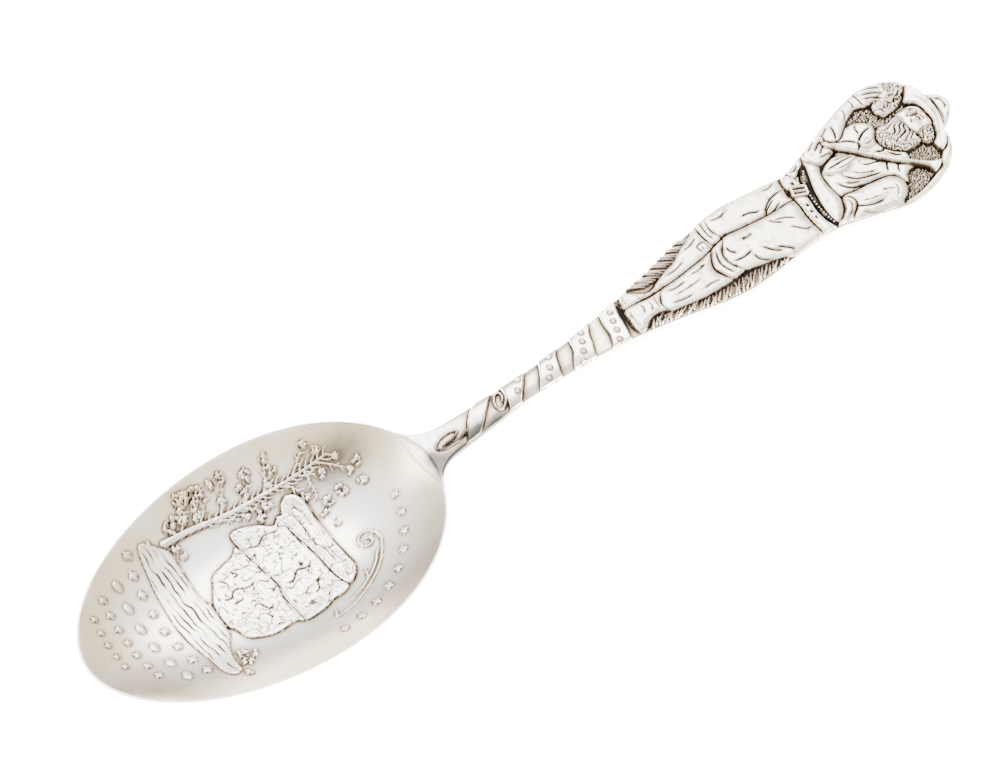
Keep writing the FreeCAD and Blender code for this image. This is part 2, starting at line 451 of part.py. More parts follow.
def bowl_outline():
    """The egg-shaped rim as a flat face, closed at the neck by a straight line."""
    far = []
    count = 16
    for i in range(count + 1):
        x = NECK_START_X + (TIP_X - NECK_START_X) * math.sin(math.pi / 2 * i / count)
        if x < BOWL_CENTRE_X:
            along = ((BOWL_CENTRE_X - x) / BOWL_TIP_REACH) ** TIP_FULLNESS
        else:
            along = ((x - BOWL_CENTRE_X) / BOWL_NECK_REACH) ** NECK_FULLNESS
        far.append((x, BOWL_HALF_WIDTH * max(1 - along, 0) ** (1 / CROSS_FULLNESS)))
    near = [(x, -y) for x, y in far[:-1]]
    rim = curve(far + near[::-1])
    ends = [rim.Vertexes[0].Point, rim.Vertexes[-1].Point]
    return face_of([rim, Part.makeLine(ends[1], ends[0])])


def handle_outline(inset):
    """Edge of neck, stem and handle as one flat face, moved inwards by inset."""
    sides = [FAR_EDGE, NUGGET_EDGE, BRIM_EDGE, CROWN_EDGE, NEAR_EDGE]
    loop = [p for side in sides for p in side[:-1]] + NEAR_EDGE[-1:]
    moved = {}
    for i, (x, y) in enumerate(loop):
        ax, ay = loop[i - 1]
        bx, by = loop[(i + 1) % len(loop)]
        size = math.hypot(bx - ax, by - ay)
        moved[(x, y)] = (x + (by - ay) / size * inset, y - (bx - ax) / size * inset)
    edges = [curve([moved[p] for p in side]) for side in sides]
    near_end = V(*moved[NEAR_EDGE[-1]], 0)
    far_end = V(*moved[FAR_EDGE[0]], 0)
    edges.append(Part.makeLine(near_end, far_end))
    return face_of(edges)


def split_by_x(solid, cuts):
    """Cut a solid into slices at the given x values."""
    slices = []
    limits = [-100.0] + cuts + [100.0]
    for low, high in zip(limits[:-1], limits[1:]):
        cutter = Part.makeBox(high - low, 80, 60, V(low, -40, -20))
        slices.append(solid.common(cutter))
    return slices


def make_blank():
    """Bowl, neck, stem and handle plate, meeting face to face."""
    bowl = region(bowl_back, bowl_face, BOWL_BOX, 0, 0).common(prism(bowl_outline()))
    above_table = Part.makeBox(200, 80, 40, V(-100, -40, 0))
    save("bowl", solids_of(bowl.common(above_table)))
    whole = region(stem_back, stem_face, STEM_BOX, 0, 0).common(prism(handle_outline(0)))
    whole = whole.common(above_table)
    parts = split_by_x(whole, [STEM_START_X, HANDLE_START_X])
    for name, piece in zip(("neck", "stem", "handle_plate"), parts):
        save(name, solids_of(piece))


def make_relief(face_height, box, limit, entries):
    """Raised elements on a face.  Each is trimmed by those listed before it."""
    base = sheet(face_height, *box, 0)
    taken = []
    layers = {}
    for name, height, flats in entries:
        if height not in layers:
            top = sheet(face_height, *box, height)
            layers[height] = block(base, top, *box[:4])
        pieces = []
        for flat in flats:
            shape = flat.common(limit)
            if taken:
                shape = shape.cut(taken)
            for part in shape.Faces:
                pieces.extend(solids_of(layers[height].common(prism(part))))
        taken.extend(flats)
        save(name, pieces)


def figure_entries():
    """The prospector on the handle, from the highest element down to the grass."""
    entries = []
    for name, height, points in FIGURE:
        if name == "cartridge_belt":
            beads = [disc_face(x, y, CARTRIDGE_R) for x, y in CARTRIDGES]
            entries.append(("cartridges", CARTRIDGE_HEIGHT, beads))
        if name == "belt_buckle":
            frame = corner_face(points).cut(corner_face(BUCKLE_SLOT))
            entries.append((name, height, [frame]))
        else:
            entries.append((name, height, [smooth_face(points)]))
    for name, points in RIBBON[:4]:
        entries.append((name, RIBBON_HEIGHT, [smooth_face(points)]))
    for name, blades in (("grass_far", GRASS_FAR), ("grass_near", GRASS_NEAR)):
        flats = [strip_face(line, BLADE_WIDTH, BLADE_WIDTH / 3) for line in blades]
        entries.append((name, GRASS_HEIGHT, flats))
    for name, points in RIBBON[4:]:
        entries.append((name, RIBBON_HEIGHT, [smooth_face(points)]))
    return entries


def lozenge_face(x, y, radius):
    return corner_face([(x - radius, y), (x, y + radius * 1.4), (x + radius, y), (x, y - radius * 1.4)])


def scene_entries():
    """The balanced rock, tree and border inside the bowl."""
    entries = [(name, height, [smooth_face(points)]) for name, height, points in SCENE]
    trunk = strip_face(TRUNK_LINE, TRUNK_WIDE, TRUNK_THIN)
    entries.append(("tree_trunk", TRUNK_HEIGHT, [trunk]))
    entries.append(("tree_foliage", FOLIAGE_HEIGHT, [disc_face(*spot) for spot in FOLIAGE]))
    branches = [strip_face(line, BRANCH_WIDTH, BRANCH_WIDTH / 2) for line in BRANCHES]
    entries.append(("tree_branches", BRANCH_HEIGHT, branches))
    entries.append(("shrubs", SHRUB_HEIGHT, [disc_face(*spot) for spot in SHRUBS]))
    scroll = [strip_face(line, SCROLL_WIDTH, SCROLL_WIDTH / 2) for line in SCROLL_LINES + SCROLL_TWIGS]
    entries.append(("scroll", SCROLL_HEIGHT, scroll))
    for name, radius, spots in ORNAMENT_ROWS:
        shape = lozenge_face if name == "border_lozenges" else disc_face
        entries.append((name, ORNAMENT_HEIGHT, [shape(x, y, radius) for x, y in spots]))
    return entries


os.makedirs("parts", exist_ok=True)
make_blank()
make_relief(stem_face, STEM_BOX, handle_outline(EDGE_INSET), figure_entries())
make_relief(bowl_face, BOWL_BOX, bowl_outline(), scene_entries())
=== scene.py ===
import math

import bpy
import numpy as np
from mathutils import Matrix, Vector


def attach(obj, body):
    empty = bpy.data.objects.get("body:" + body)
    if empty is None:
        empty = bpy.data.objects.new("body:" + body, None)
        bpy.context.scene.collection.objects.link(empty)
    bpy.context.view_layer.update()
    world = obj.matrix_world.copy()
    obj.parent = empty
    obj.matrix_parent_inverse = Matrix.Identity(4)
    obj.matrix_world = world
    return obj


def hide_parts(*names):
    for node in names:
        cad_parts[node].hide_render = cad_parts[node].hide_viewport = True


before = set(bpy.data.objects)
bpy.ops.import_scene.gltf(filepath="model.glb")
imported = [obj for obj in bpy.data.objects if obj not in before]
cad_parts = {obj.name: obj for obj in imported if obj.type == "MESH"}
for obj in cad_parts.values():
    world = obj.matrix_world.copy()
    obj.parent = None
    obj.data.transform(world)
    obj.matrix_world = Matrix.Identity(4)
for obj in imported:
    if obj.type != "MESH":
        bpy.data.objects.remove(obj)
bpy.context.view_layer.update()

# Sculpted looks of a die-struck silver souvenir spoon.  Lengths below are in mm in the row frame;
# meshes are written in metres.  Every element is a closed mesh lying on the surface of the blank.
MM = 0.001
HANDLE_CELL = 0.085            # grid step of the handle's relief
BOWL_CELL = 0.1                # grid step of the bowl's relief
SINK = 0.14                    # how deep an element's back lies under the surface
EDGE_ROUND = 0.34              # rounding of the blank's edges

# ------------------------------------------------------------------ blank: same numbers as the CAD
TIP_X, END_X = -74.0, 74.0
BOWL_CENTRE_X = -45.0
BOWL_HALF_WIDTH = 16.8
BOWL_TIP_REACH = BOWL_CENTRE_X - TIP_X
BOWL_NECK_REACH = 24.5
BOWL_DEPTH = 6.0
BOWL_WALL, RIM_WALL = 1.0, 0.45
TIP_FULLNESS, NECK_FULLNESS, CROSS_FULLNESS, HOLLOW_FULLNESS = 1.9, 2.2, 1.905, 1.15
NECK_START_X, NECK_BLEND = -22.0, 6.0
STEM_START_X, HANDLE_START_X = -12.0, 13.6
STEM_CROWN = 0.6
SMOOTH = 0.02
CREASE, HOLLOW_END_X = 0.2, -17.2
RIM_LINE = [(-80, 9.1), (-74, 8.6), (-60, 7.65), (-40, 6.82), (-22, 6.42), (-10, 6.4)]
FACE_LINE = [(-26, 6.45), (-21, 6.45), (-16, 6.42), (-8, 6.38), (0, 6.3), (8, 5.95), (16, 5.35), (30, 4),
    (45, 2.6), (58, 1.55), (68, 1.1), (76, 1.25)]
BACK_LINE = [(-26, 5.3), (-21, 5.2), (-16, 4.6), (-8, 4.35), (0, 4.3), (8, 4.15), (16, 3.8), (30, 2.7),
    (45, 1.35), (58, 0.38), (68, -0.02), (76, 0.12)]
FAR_EDGE = [(-22, 5.75), (-21.3, 4.55), (-20.5, 3.65), (-19.4, 2.95), (-18, 2.5), (-16, 2.27), (-13, 2.1),
    (-10, 1.97), (-4, 1.88), (2, 2), (8, 2.4), (14, 3.2), (20, 4.25), (26, 5.6), (30, 6.15), (35, 6.9),
    (41, 6.5), (46.3, 5.98), (49, 6.5), (55, 8.45), (60, 10.05), (64, 10.85), (66.5, 10.75), (68.5, 10.1)]
NUGGET_EDGE = [(68.5, 10.1), (69.6, 9.5), (70.6, 8.7), (71, 7.5)]
BRIM_EDGE = [(71, 7.5), (71.6, 6.6), (71.85, 5.6), (72, 4.5)]
CROWN_EDGE = [(72, 4.5), (72.95, 3.85), (73.65, 3.05), (74, 2), (73.8, 1), (73, 0), (71.8, -0.9),
    (70.2, -1.6)]
NEAR_EDGE = [(70.2, -1.6), (69.9, -3), (68.7, -5), (66.5, -6.7), (63.5, -7.8), (60, -8.4), (57, -8.15),
    (52, -6.75), (47.5, -5.6), (44, -5.35), (39, -5.75), (32, -6.35), (27, -6), (20, -4.55), (14, -3.45),
    (8, -2.6), (2, -2.15), (-4, -1.9), (-10, -1.97), (-13, -2.15), (-16, -2.35), (-18, -2.6),
    (-19.4, -3.05), (-20.5, -3.75), (-21.3, -4.6), (-22, -5.75)]
FIGURE = [
    ("lower_hand", 1.35, [(51, 7), (52, 7.25), (53, 7.6), (54.2, 7.95), (55.2, 7.9), (55.6, 7.5),
        (55.2, 6.7), (55.3, 5.6), (55.2, 4.9), (54.5, 4.55), (53.3, 4.3), (52, 4.1), (51.2, 4.7),
        (50.6, 5.9)]),
    ("pick_shaft", 1.25, [(54.3, 6.3), (55.3, 4.9), (57, 3), (58.2, 1.4), (59.3, 0), (60.8, -1.8),
        (62.3, -3.3), (63.3, -4.5), (63.8, -5.3), (63.9, -6.5), (65.3, -6.1), (66, -5.3), (65.3, -5.1),
        (64.3, -4.4), (63, -3.1), (61.8, -1.5), (60, 0.7), (58, 3), (56.2, 5.2), (55, 6.7)]),
    ("raised_hand", 1.2, [(64.3, 8.3), (66, 7.9), (66.6, 7.2), (67.8, 7.4), (68.6, 8.2), (68.6, 9.9),
        (67.5, 10.8), (66, 11.3), (64.4, 11.3)]),
    ("hat_brim", 1.25, [(68.7, 5.5), (69.3, 4.9), (69.9, 4.4), (70.15, 3.6), (70.1, 2.6), (70, 1.5),
        (69.8, 0.6), (69.3, 0), (68.9, -0.8), (68.5, -1.5), (67.9, -2), (67.2, -2.5), (67.3, -4),
        (68, -4), (68.8, -3.5), (69.5, -2.6), (70.2, -1.6), (70.8, -0.4), (71.3, 0.7), (71.7, 2),
        (71.9, 3.2), (71.95, 4.5), (72.1, 5.7), (71.7, 6.8), (71.1, 7.7), (70.2, 6.9), (69.4, 6.2)]),
    ("hat_crown", 1.1, [(71.95, 4.6), (72.6, 4.6), (74.4, 3.6), (74.5, 1.2), (72.6, -0.2), (71, -1.6),
        (70.2, -1.7), (70.8, -0.4), (71.3, 0.7), (71.7, 2), (71.9, 3.2)]),
    ("ore_nugget", 1.15, [(64.6, 7.3), (64.5, 6.3), (64.9, 5.5), (65.6, 5.3), (66.5, 5.3), (67.3, 5.4),
        (68, 5.6), (68.7, 5.9), (69.4, 6.3), (70.2, 7), (71, 7.8), (70.9, 8.7), (69.8, 9.6), (68.6, 10.3),
        (68.2, 8.6), (66.5, 8.2), (65.2, 8)]),
    ("neckerchief_knot", 1.3, [(58.9, 3.2), (59.5, 3.9), (60.6, 3.95), (61.3, 3.3), (60.9, 2.7),
        (59.7, 2.5)]),
    ("neckerchief_tail", 1.15, [(51.3, 3), (52.5, 3.85), (54.3, 4.3), (55.6, 3.95), (56.6, 3.4),
        (57.6, 2.7), (56.2, 1.95), (55, 1.6), (54, 1.55), (52.8, 1.75), (51.9, 2.3)]),
    ("beard", 1.2, [(62.2, 4), (61.6, 3.3), (61.3, 2), (61.6, 1), (62.1, 0.2), (62.8, -0.6), (63.5, -1),
        (64.5, -1.2), (65.5, -1.15), (66.3, -0.9), (66.6, 0.2), (66.3, 1.8), (66.5, 3.2), (66.4, 4.2),
        (65.6, 4.45), (64.4, 4.2), (63.1, 4.55)]),
    ("hair", 1.05, [(69.25, 0), (68.75, -0.9), (68.2, -1.7), (67.4, -2.1), (66.6, -1.8), (66.3, -0.9),
        (66.6, 0.1), (67.4, 0.45), (68.3, 0.5)]),
    ("face", 1.1, [(66.2, 4.4), (67.2, 4.85), (68.6, 4.8), (69.6, 4.3), (70.05, 3.4), (70, 1.6),
        (69.7, 0.6), (69.2, 0), (68, 0), (66.6, 0.2), (66.2, 1.5)]),
    ("pick_head", 0.85, [(69.8, -1.9), (69.2, -3), (68.3, -4), (67.3, -4.3), (66.2, -5.2), (65.2, -5.95),
        (63.9, -6.65), (62, -7.2), (60, -7.6), (57, -7.9), (56.9, -9.2), (62, -9.3), (66, -8),
        (69.3, -5.8), (71.3, -2.2)]),
    ("rolled_cuff", 1.3, [(50.1, -2.6), (50.8, -1.7), (51.6, -2.5), (51.7, -3.4), (51.1, -4.3),
        (50, -5.1), (48.5, -6.4), (47, -6.2), (47.2, -4.9), (48, -4.8), (48.6, -4.4), (49.5, -3.6)]),
    ("forearm", 1.2, [(50.7, 6.6), (50, 5), (49.3, 3.5), (48.5, 2), (48, 0.5), (47.5, -1), (47.2, -2.5),
        (47.1, -4), (47.2, -5), (48, -4.8), (48.6, -4.4), (49.5, -3.6), (50.1, -2.6), (50.5, -1.6),
        (50.6, 0.5), (50.8, 2), (51.3, 3.4), (52, 4.3), (51.6, 5.4)]),
    ("upper_sleeve", 1.1, [(51.5, -1.5), (53, -1.8), (55, -2), (57, -2.3), (58.5, -2.7), (59.3, -3.4),
        (59.6, -4.4), (59.5, -5.3), (59, -6.2), (58, -7), (57, -7.7), (56.8, -9), (54, -8.3), (51, -7.4),
        (48.6, -6.6), (50, -5.1), (51.1, -4.3), (51.7, -3.4), (51.6, -2.5), (50.95, -1.7)]),
    ("raised_arm", 1, [(50.8, 7.9), (54.3, 8.2), (55.5, 6.9), (56.1, 6.1), (57, 6), (58, 6.3), (59, 6.9),
        (60.2, 7.8), (61.5, 8.3), (62.5, 8.65), (63.4, 8.5), (64.5, 8.3), (64.4, 11.6), (60, 11.2),
        (55, 9.6)]),
    ("belt_buckle", 1.35, [(45.2, 1.8), (45.2, 3.15), (47.9, 3.15), (47.9, 1.8)]),
    ("belt_tongue", 1.2, [(45.6, 3.3), (45.4, 4.2), (45.7, 5.2), (46.3, 5.65), (47.1, 5.2), (47.6, 4.2),
        (47.6, 3.3), (46.6, 3.2)]),
    ("belt", 1.1, [(45.3, 2.2), (45.1, 0.5), (44.8, -1), (44.6, -2.5), (44.5, -4), (44.5, -6.2),
        (46.6, -6.2), (46.25, -3.5), (46.3, -2), (46.45, -0.8), (46.7, 0), (47, 1.3), (47.2, 2.2)]),
    ("cartridge_belt", 0.95, [(49.9, 5.7), (49.1, 5.2), (48.2, 4.2), (47.5, 2.9), (46.9, 1), (46.6, -0.5),
        (46.4, -2.2), (46.4, -3.8), (46.5, -6.2), (47.4, -6.2), (47.2, -3.9), (47.3, -2.4), (47.6, -0.8),
        (48, 0.7), (48.7, 2.4), (49.4, 3.8), (50.2, 5.3)]),
    ("shirt_waist", 0.9, [(47.1, 3), (47.6, 4.3), (47.2, 6.6), (49.5, 7.6), (51.2, 7.8), (50.9, 6.6),
        (50, 5.6), (49.1, 5.1), (48.2, 4.2), (47.6, 3.1)]),
    ("shirt_front", 0.95, [(50.8, 2.4), (52, 3.6), (54.8, 4.6), (56, 5.3), (58, 2.9), (60, 0.6),
        (61.7, -1.4), (63, -2.8), (62.8, -3.7), (61.7, -3.7), (60.8, -4.2), (59.9, -5.2), (59.3, -3.5),
        (58.4, -2.7), (57, -2.3), (55, -2), (53, -1.8), (51.5, -1.5), (50.7, -1)]),
    ("shirt_collar", 0.95, [(55.4, 6.7), (57, 6), (58, 6.3), (59, 7), (60.5, 7.15), (61.5, 6.8),
        (62.4, 6.1), (62.8, 5.2), (62.2, 4.1), (61.4, 3), (61.4, 1.6), (62.2, 0.2), (63.3, -1),
        (62.8, -2.3), (61.5, -1.4), (59.6, 0.8), (57.6, 3.3), (55.8, 5.5)]),
    ("near_knee_cuff", 1.25, [(30, 1.9), (28.8, 0.3), (28.45, -0.8), (28.8, -2.2), (29.3, -3.5),
        (30.5, -3.5), (31.6, -3.2), (30.9, -1.9), (30.6, -0.5), (31, 0.9), (32.5, 2.4), (31.4, 2.4)]),
    ("near_boot", 1.15, [(14, 1.1), (16, 1.15), (18, 0.9), (20.1, 0.9), (19.1, -0.2), (18.7, -1),
        (18.8, -2.1), (17.6, -1.8), (16.5, -1.85), (15.7, -2.1), (15, -2.6), (14.5, -3), (13.85, -3.3),
        (13.4, -3), (13.3, -2), (13.5, -0.8)]),
    ("near_calf", 1.05, [(20.1, 0.95), (22, 1.1), (24, 1.25), (26, 1.5), (28, 1.7), (30, 1.95),
        (28.8, 0.3), (28.45, -0.8), (28.8, -2.2), (29.3, -3.45), (28, -3.6), (26, -3.6), (24, -3.5),
        (22, -3.2), (20.5, -2.9), (19.3, -2.7), (18.8, -2), (18.7, -1), (19.1, -0.2)]),
    ("near_thigh", 1.1, [(45.1, 1.9), (42.5, 2.1), (39.8, 2.15), (36, 2.55), (33, 2.8), (31.5, 1.5),
        (30.8, 0.4), (30.6, -0.6), (30.9, -1.9), (31.6, -3.2), (34, -3.9), (37, -4.7), (39.5, -5.9),
        (44.4, -6.4), (44.4, -4), (44.6, -1)]),
    ("far_knee_cuff", 1.15, [(31, 7.1), (30.7, 5.2), (30.7, 3.8), (30.9, 2.6), (32.6, 2.9), (32.2, 4.2),
        (32.3, 5.2), (33.1, 7.4), (32, 7.6)]),
    ("far_boot", 1, [(14.2, 1.3), (14.3, 2.2), (14.8, 3.05), (15.7, 3.2), (16.4, 2.8), (17.2, 2.3),
        (18.1, 1.8), (19.2, 1.7), (20.6, 2.2), (20.9, 1.25), (18.5, 1.15), (16.3, 1.25)]),
    ("far_calf", 0.9, [(20.5, 2.15), (21.5, 2.6), (23, 3.1), (24.4, 3.4), (26, 4.2), (28, 5), (30, 5.8),
        (31, 6.6), (30.7, 5.2), (30.7, 3.8), (31, 2.6), (29, 2), (27, 1.65), (24, 1.35), (20.9, 1.25)]),
    ("far_thigh", 0.95, [(45.1, 1.95), (44.9, 3), (45.2, 4.2), (45.5, 5.6), (46.3, 7), (42, 7.8), (38, 8),
        (35, 8), (33.1, 7.6), (32.3, 5.4), (32.2, 4), (32.7, 2.95), (36, 2.65), (39.8, 2.25),
        (42.5, 2.15)]),
]
RIBBON = [
    ("ribbon_band_1", [(-6.9, 2.5), (-2.4, 2.5), (-2.7, 1.8), (-4, 0.2), (-5.5, -1.3), (-6.6, -2.6),
        (-8.4, -2.6), (-7.6, -1.2), (-7.2, 0), (-6.8, 1.2)]),
    ("ribbon_band_2", [(-0.2, 2.6), (3.4, 2.8), (3, 1.9), (2, 0.7), (1.2, -1), (0, -2.9), (-3.6, -2.7),
        (-2.8, -1.7), (-1.3, 0.3), (-0.5, 1.7)]),
    ("ribbon_band_3", [(5.6, 3.1), (9.5, 3.4), (9, 2.4), (7.8, 0.8), (7, -1), (5.4, -3.3), (1.9, -3.1),
        (2.6, -2.3), (3.5, -1), (4.3, 0), (5.1, 2)]),
    ("ribbon_band_4", [(10.9, 3.6), (14.2, 4), (13.8, 2.8), (13, 1), (12.2, -2), (11.2, -3.9), (8, -3.6),
        (8.7, -3), (9.8, -1), (10.2, 1), (10.8, 2.6)]),
]
SCENE = [
    ("balanced_rock", 0.5, [(-40.2, 6.5), (-39.3, 6.6), (-38.8, 7.4), (-38, 8.1), (-37.2, 8.2),
        (-36.5, 7.8), (-36, 7), (-35.9, 5.5), (-36.2, 3), (-36.3, 0), (-36.4, -3), (-36.5, -5), (-37, -6),
        (-38, -6.9), (-38.9, -7), (-39.3, -5), (-39.2, 0), (-39.6, 3)]),
    ("rock_block", 0.42, [(-39.5, 5.9), (-40.2, 6.5), (-40.8, 6.1), (-41.5, 6.3), (-42.3, 7),
        (-43.5, 7.7), (-45, 8.2), (-46, 8.3), (-46.5, 8), (-46.6, 6.6), (-46, 2), (-45.7, -1),
        (-46.3, -3), (-46.5, -7), (-46.2, -8.1), (-43.5, -8.1), (-42, -7.7), (-40, -7.7), (-39.1, -7.1),
        (-39.4, -5), (-39.4, 0), (-39.8, 3)]),
    ("rock_foot", 0.36, [(-54.3, 1), (-53.5, 2.5), (-52.5, 3.8), (-51.8, 4.8), (-50, 5.3), (-48, 5.7),
        (-46.8, 6.3), (-46.2, 2), (-45.9, -1), (-46.5, -3), (-46.7, -7.6), (-47.3, -7.3), (-48, -7.1),
        (-50, -7.2), (-51.5, -6.9), (-53, -6.1), (-53.8, -5.4), (-54.2, -3.5), (-54.7, -2.2)]),
    ("ground_ridge", 0.26, [(-57.5, 12.5), (-58.8, 9), (-59.7, 5), (-60.2, 1), (-60.2, -2), (-59.9, -5),
        (-59.8, -8), (-59, -9.8), (-57.8, -9.5), (-57.5, -7.5), (-57, -6), (-56.3, -4.8), (-55.3, -3.5),
        (-54.9, -1.5), (-54.6, 1), (-54.9, 3), (-54.9, 5), (-54.6, 8), (-54.4, 9.5), (-55, 10.8)]),
]
FOLIAGE = [(-49.5, 14.6, 1), (-47.5, 14.4, 1.3), (-50.9, 12.9, 1), (-48.7, 12.4, 0.8), (-52.6, 12.4, 0.8),
    (-44.8, 14.4, 0.5), (-43.2, 14.3, 0.7), (-44.8, 12, 0.6), (-41.6, 12.1, 0.6), (-40.2, 13, 0.8),
    (-37, 13.4, 0.7), (-36.9, 11.8, 0.6), (-38.3, 10.7, 0.5), (-41.6, 8, 0.6), (-40, 8.6, 0.7),
    (-43.2, 8.9, 0.45), (-31.8, 11.8, 0.5), (-30.9, 10.3, 0.5), (-29.3, 8.2, 0.4), (-31.8, 7.5, 0.6),
    (-35, 6.4, 0.4), (-34.7, 3.4, 0.45), (-33.3, 4.4, 0.7), (-34.2, 1.5, 0.6), (-31.2, 4.4, 0.8),
    (-27.4, 5.9, 0.6), (-28.9, 5.5, 0.5), (-28.4, 3.6, 0.7)]
SHRUBS = [(-56, -7.2, 0.75), (-56.3, -8.8, 0.7), (-54.9, -8.1, 0.55), (-57.4, -10.6, 0.5),
    (-56.6, 11.8, 0.7), (-53.6, 10, 0.6), (-53.2, 8.8, 0.5)]
TRUNK_LINE = [(-54.6, 11.3), (-50, 11.1), (-45, 10.4), (-40, 10), (-35, 9.5), (-30, 9.1)]
BRANCHES = [[(-51.6, 11.5), (-49.6, 13.5)], [(-48.8, 11.2), (-46.2, 13.6)],
    [(-45.8, 10.8), (-43.6, 13.5)], [(-46.5, 10.3), (-43.9, 9.1)], [(-42.4, 10.5), (-40.6, 12.1)],
    [(-42.8, 9.9), (-41.2, 8.7)], [(-39.2, 10.2), (-37.4, 12.7)], [(-35, 9.8), (-32.4, 11.4)],
    [(-36.5, 9.3), (-35.2, 6.9)], [(-34.4, 9.1), (-32.5, 8.1)], [(-33.6, 9), (-34.3, 5.2)],
    [(-31.4, 8.9), (-29, 6.2)]]
SCROLL_LINES = [
    [(-33.2, -3.1), (-32.6, -3.3), (-32.7, -4), (-33.5, -4.2), (-34.1, -3.6), (-34, -2.6), (-33, -2.1),
        (-31.9, -2.7), (-31.6, -4), (-32.1, -5.2), (-34, -7.3), (-36, -8.6), (-38.5, -9.7), (-41, -10.4),
        (-43.5, -10.6)],
    [(-33.2, -5.6), (-34.6, -7), (-36.2, -8), (-38.4, -8.9), (-40.4, -9.4)]]
SCROLL_TWIGS = [[(-36.6, -8), (-36, -6.6)], [(-43.4, -10.3), (-42.8, -9.2)]]
ORNAMENT_ROWS = [
    ("border_beads_inner", 0.5, [(-59.6, 12), (-60.5, 9.6), (-61.1, 7), (-61.5, 4.2), (-61.8, 1.4),
        (-61.8, -1.4), (-61.6, -4.2), (-61.2, -6.8)]),
    ("border_lozenges", 0.62, [(-63.2, 9.2), (-63.8, 6.2), (-64.2, 3.1), (-64.4, 0), (-64.2, -3.1),
        (-63.8, -6.2)]),
    ("border_beads_middle", 0.42, [(-66, 8.4), (-66.4, 6.3), (-66.7, 4.2), (-66.9, 2.1), (-67, 0),
        (-66.9, -2.1), (-66.7, -4.2)]),
    ("border_beads_outer", 0.36, [(-68.6, 6.6), (-69, 4.7), (-69.3, 2.8), (-69.4, 0.9), (-69.4, -0.9)]),
    ("border_beads_side", 0.45, [(-26.6, -1), (-27.6, -3.6), (-29.1, -6), (-31, -8.2), (-33.3, -10.1),
        (-35.9, -11.5), (-38.6, -12.4), (-41.4, -12.9), (-44.2, -13)]),
]
GRASS_FAR = [[(16.9, 3.4), (18.6, 2.7)], [(18.3, 3.8), (19.9, 2.9)], [(20.2, 4.1), (21.6, 3.2)],
    [(21.8, 4.5), (23.2, 3.7)], [(23.6, 4.9), (24.9, 4.1)], [(25.2, 5.3), (26.4, 4.7)],
    [(26.8, 5.6), (27.9, 5.2)]]
GRASS_NEAR = [[(15.8, -3.4), (17, -2.4)], [(17.4, -3.8), (18.6, -2.8)], [(19.2, -4.1), (20.5, -3.3)],
    [(21, -4.5), (22.3, -3.6)], [(22.8, -5), (24.1, -4)], [(24.6, -5.3), (25.9, -4.1)],
    [(26.4, -5.6), (27.8, -4.2)], [(28.4, -5.9), (29.8, -4.1)], [(30.4, -6), (31.9, -4.2)],
    [(32.4, -6), (33.8, -4.4)], [(34.4, -5.9), (35.6, -4.7)], [(36.4, -5.7), (37.4, -5.1)]]
CARTRIDGES = [(49.35, 4.7), (48.75, 4), (48.2, 3.2), (47.75, 2.2), (47.35, 1.1), (47.1, 0), (46.95, -1.1),
    (46.85, -2.2), (46.8, -3.3), (46.85, -4.4)]


def spline_at(points, x):
    """Catmull-Rom curve through (x, z) points, read at an array of x."""
    px = np.array([p[0] for p in points], float)
    pz = np.array([p[1] for p in points], float)
    i = np.clip(np.searchsorted(px, x, side="left") - 1, 0, len(px) - 2)
    before, after = np.maximum(i - 1, 0), np.minimum(i + 2, len(px) - 1)
    h = px[i + 1] - px[i]
    m0 = (pz[i + 1] - pz[before]) / (px[i + 1] - px[before])
    m1 = (pz[after] - pz[i]) / (px[after] - px[i])
    s = (x - px[i]) / h
    a = (2 * s ** 3 - 3 * s ** 2 + 1) * pz[i] + (s ** 3 - 2 * s ** 2 + s) * h * m0
    return a + (3 * s ** 2 - 2 * s ** 3) * pz[i + 1] + (s ** 3 - s ** 2) * h * m1


def soft_power(t, power):
    return (t * t + SMOOTH) ** (power / 2) - SMOOTH ** (power / 2)


def egg_level(x, y):
    tip = soft_power((BOWL_CENTRE_X - x) / BOWL_TIP_REACH, TIP_FULLNESS)
    neck = soft_power((x - BOWL_CENTRE_X) / BOWL_NECK_REACH, NECK_FULLNESS)
    return np.where(x < BOWL_CENTRE_X, tip, neck) + soft_power(y / BOWL_HALF_WIDTH, CROSS_FULLNESS)


def bowl_face(x, y):
    return spline_at(RIM_LINE, x) - BOWL_DEPTH * (1 - egg_level(x, y) ** HOLLOW_FULLNESS)


def bowl_back(x, y):
    d = 0.05
    sx = (bowl_face(x + d, y) - bowl_face(x - d, y)) / (2 * d)
    sy = (bowl_face(x, y + d) - bowl_face(x, y - d)) / (2 * d)
    wall = BOWL_WALL + (RIM_WALL - BOWL_WALL) * np.minimum(egg_level(x, y), 1) ** 2
    return bowl_face(x, y) - wall * np.sqrt(1 + sx * sx + sy * sy)


def crown_drop(x, y):
    half = np.where(x < 14, 1.9 + 0.0085 * (x + 4) ** 2, 4.7)
    return STEM_CROWN * (1 - np.clip((x - 4) / 12, 0, 1)) * (y / half) ** 2


def neck_blend(x):
    s = np.clip((x - NECK_START_X) / NECK_BLEND, 0, 1)
    return s * s * (3 - 2 * s)


def face_z(x, y):
    """Height of the whole spoon's upper face before relief."""
    stem = spline_at(FACE_LINE, np.maximum(x, NECK_START_X)) - neck_blend(x) * crown_drop(x, y)
    stem = stem + 0.4 * np.maximum(NECK_START_X - x, 0) ** 2
    hollow = bowl_face(np.minimum(x, HOLLOW_END_X), y)
    return (stem + hollow - np.sqrt((stem - hollow) ** 2 + CREASE ** 2)) / 2


def back_z(x, y):
    s = neck_blend(x)
    at = np.minimum(x, NECK_START_X)
    stem = spline_at(BACK_LINE, np.maximum(x, NECK_START_X)) + crown_drop(x, y)
    return np.maximum((1 - s) * bowl_back(at, y) + s * stem, 0.0)


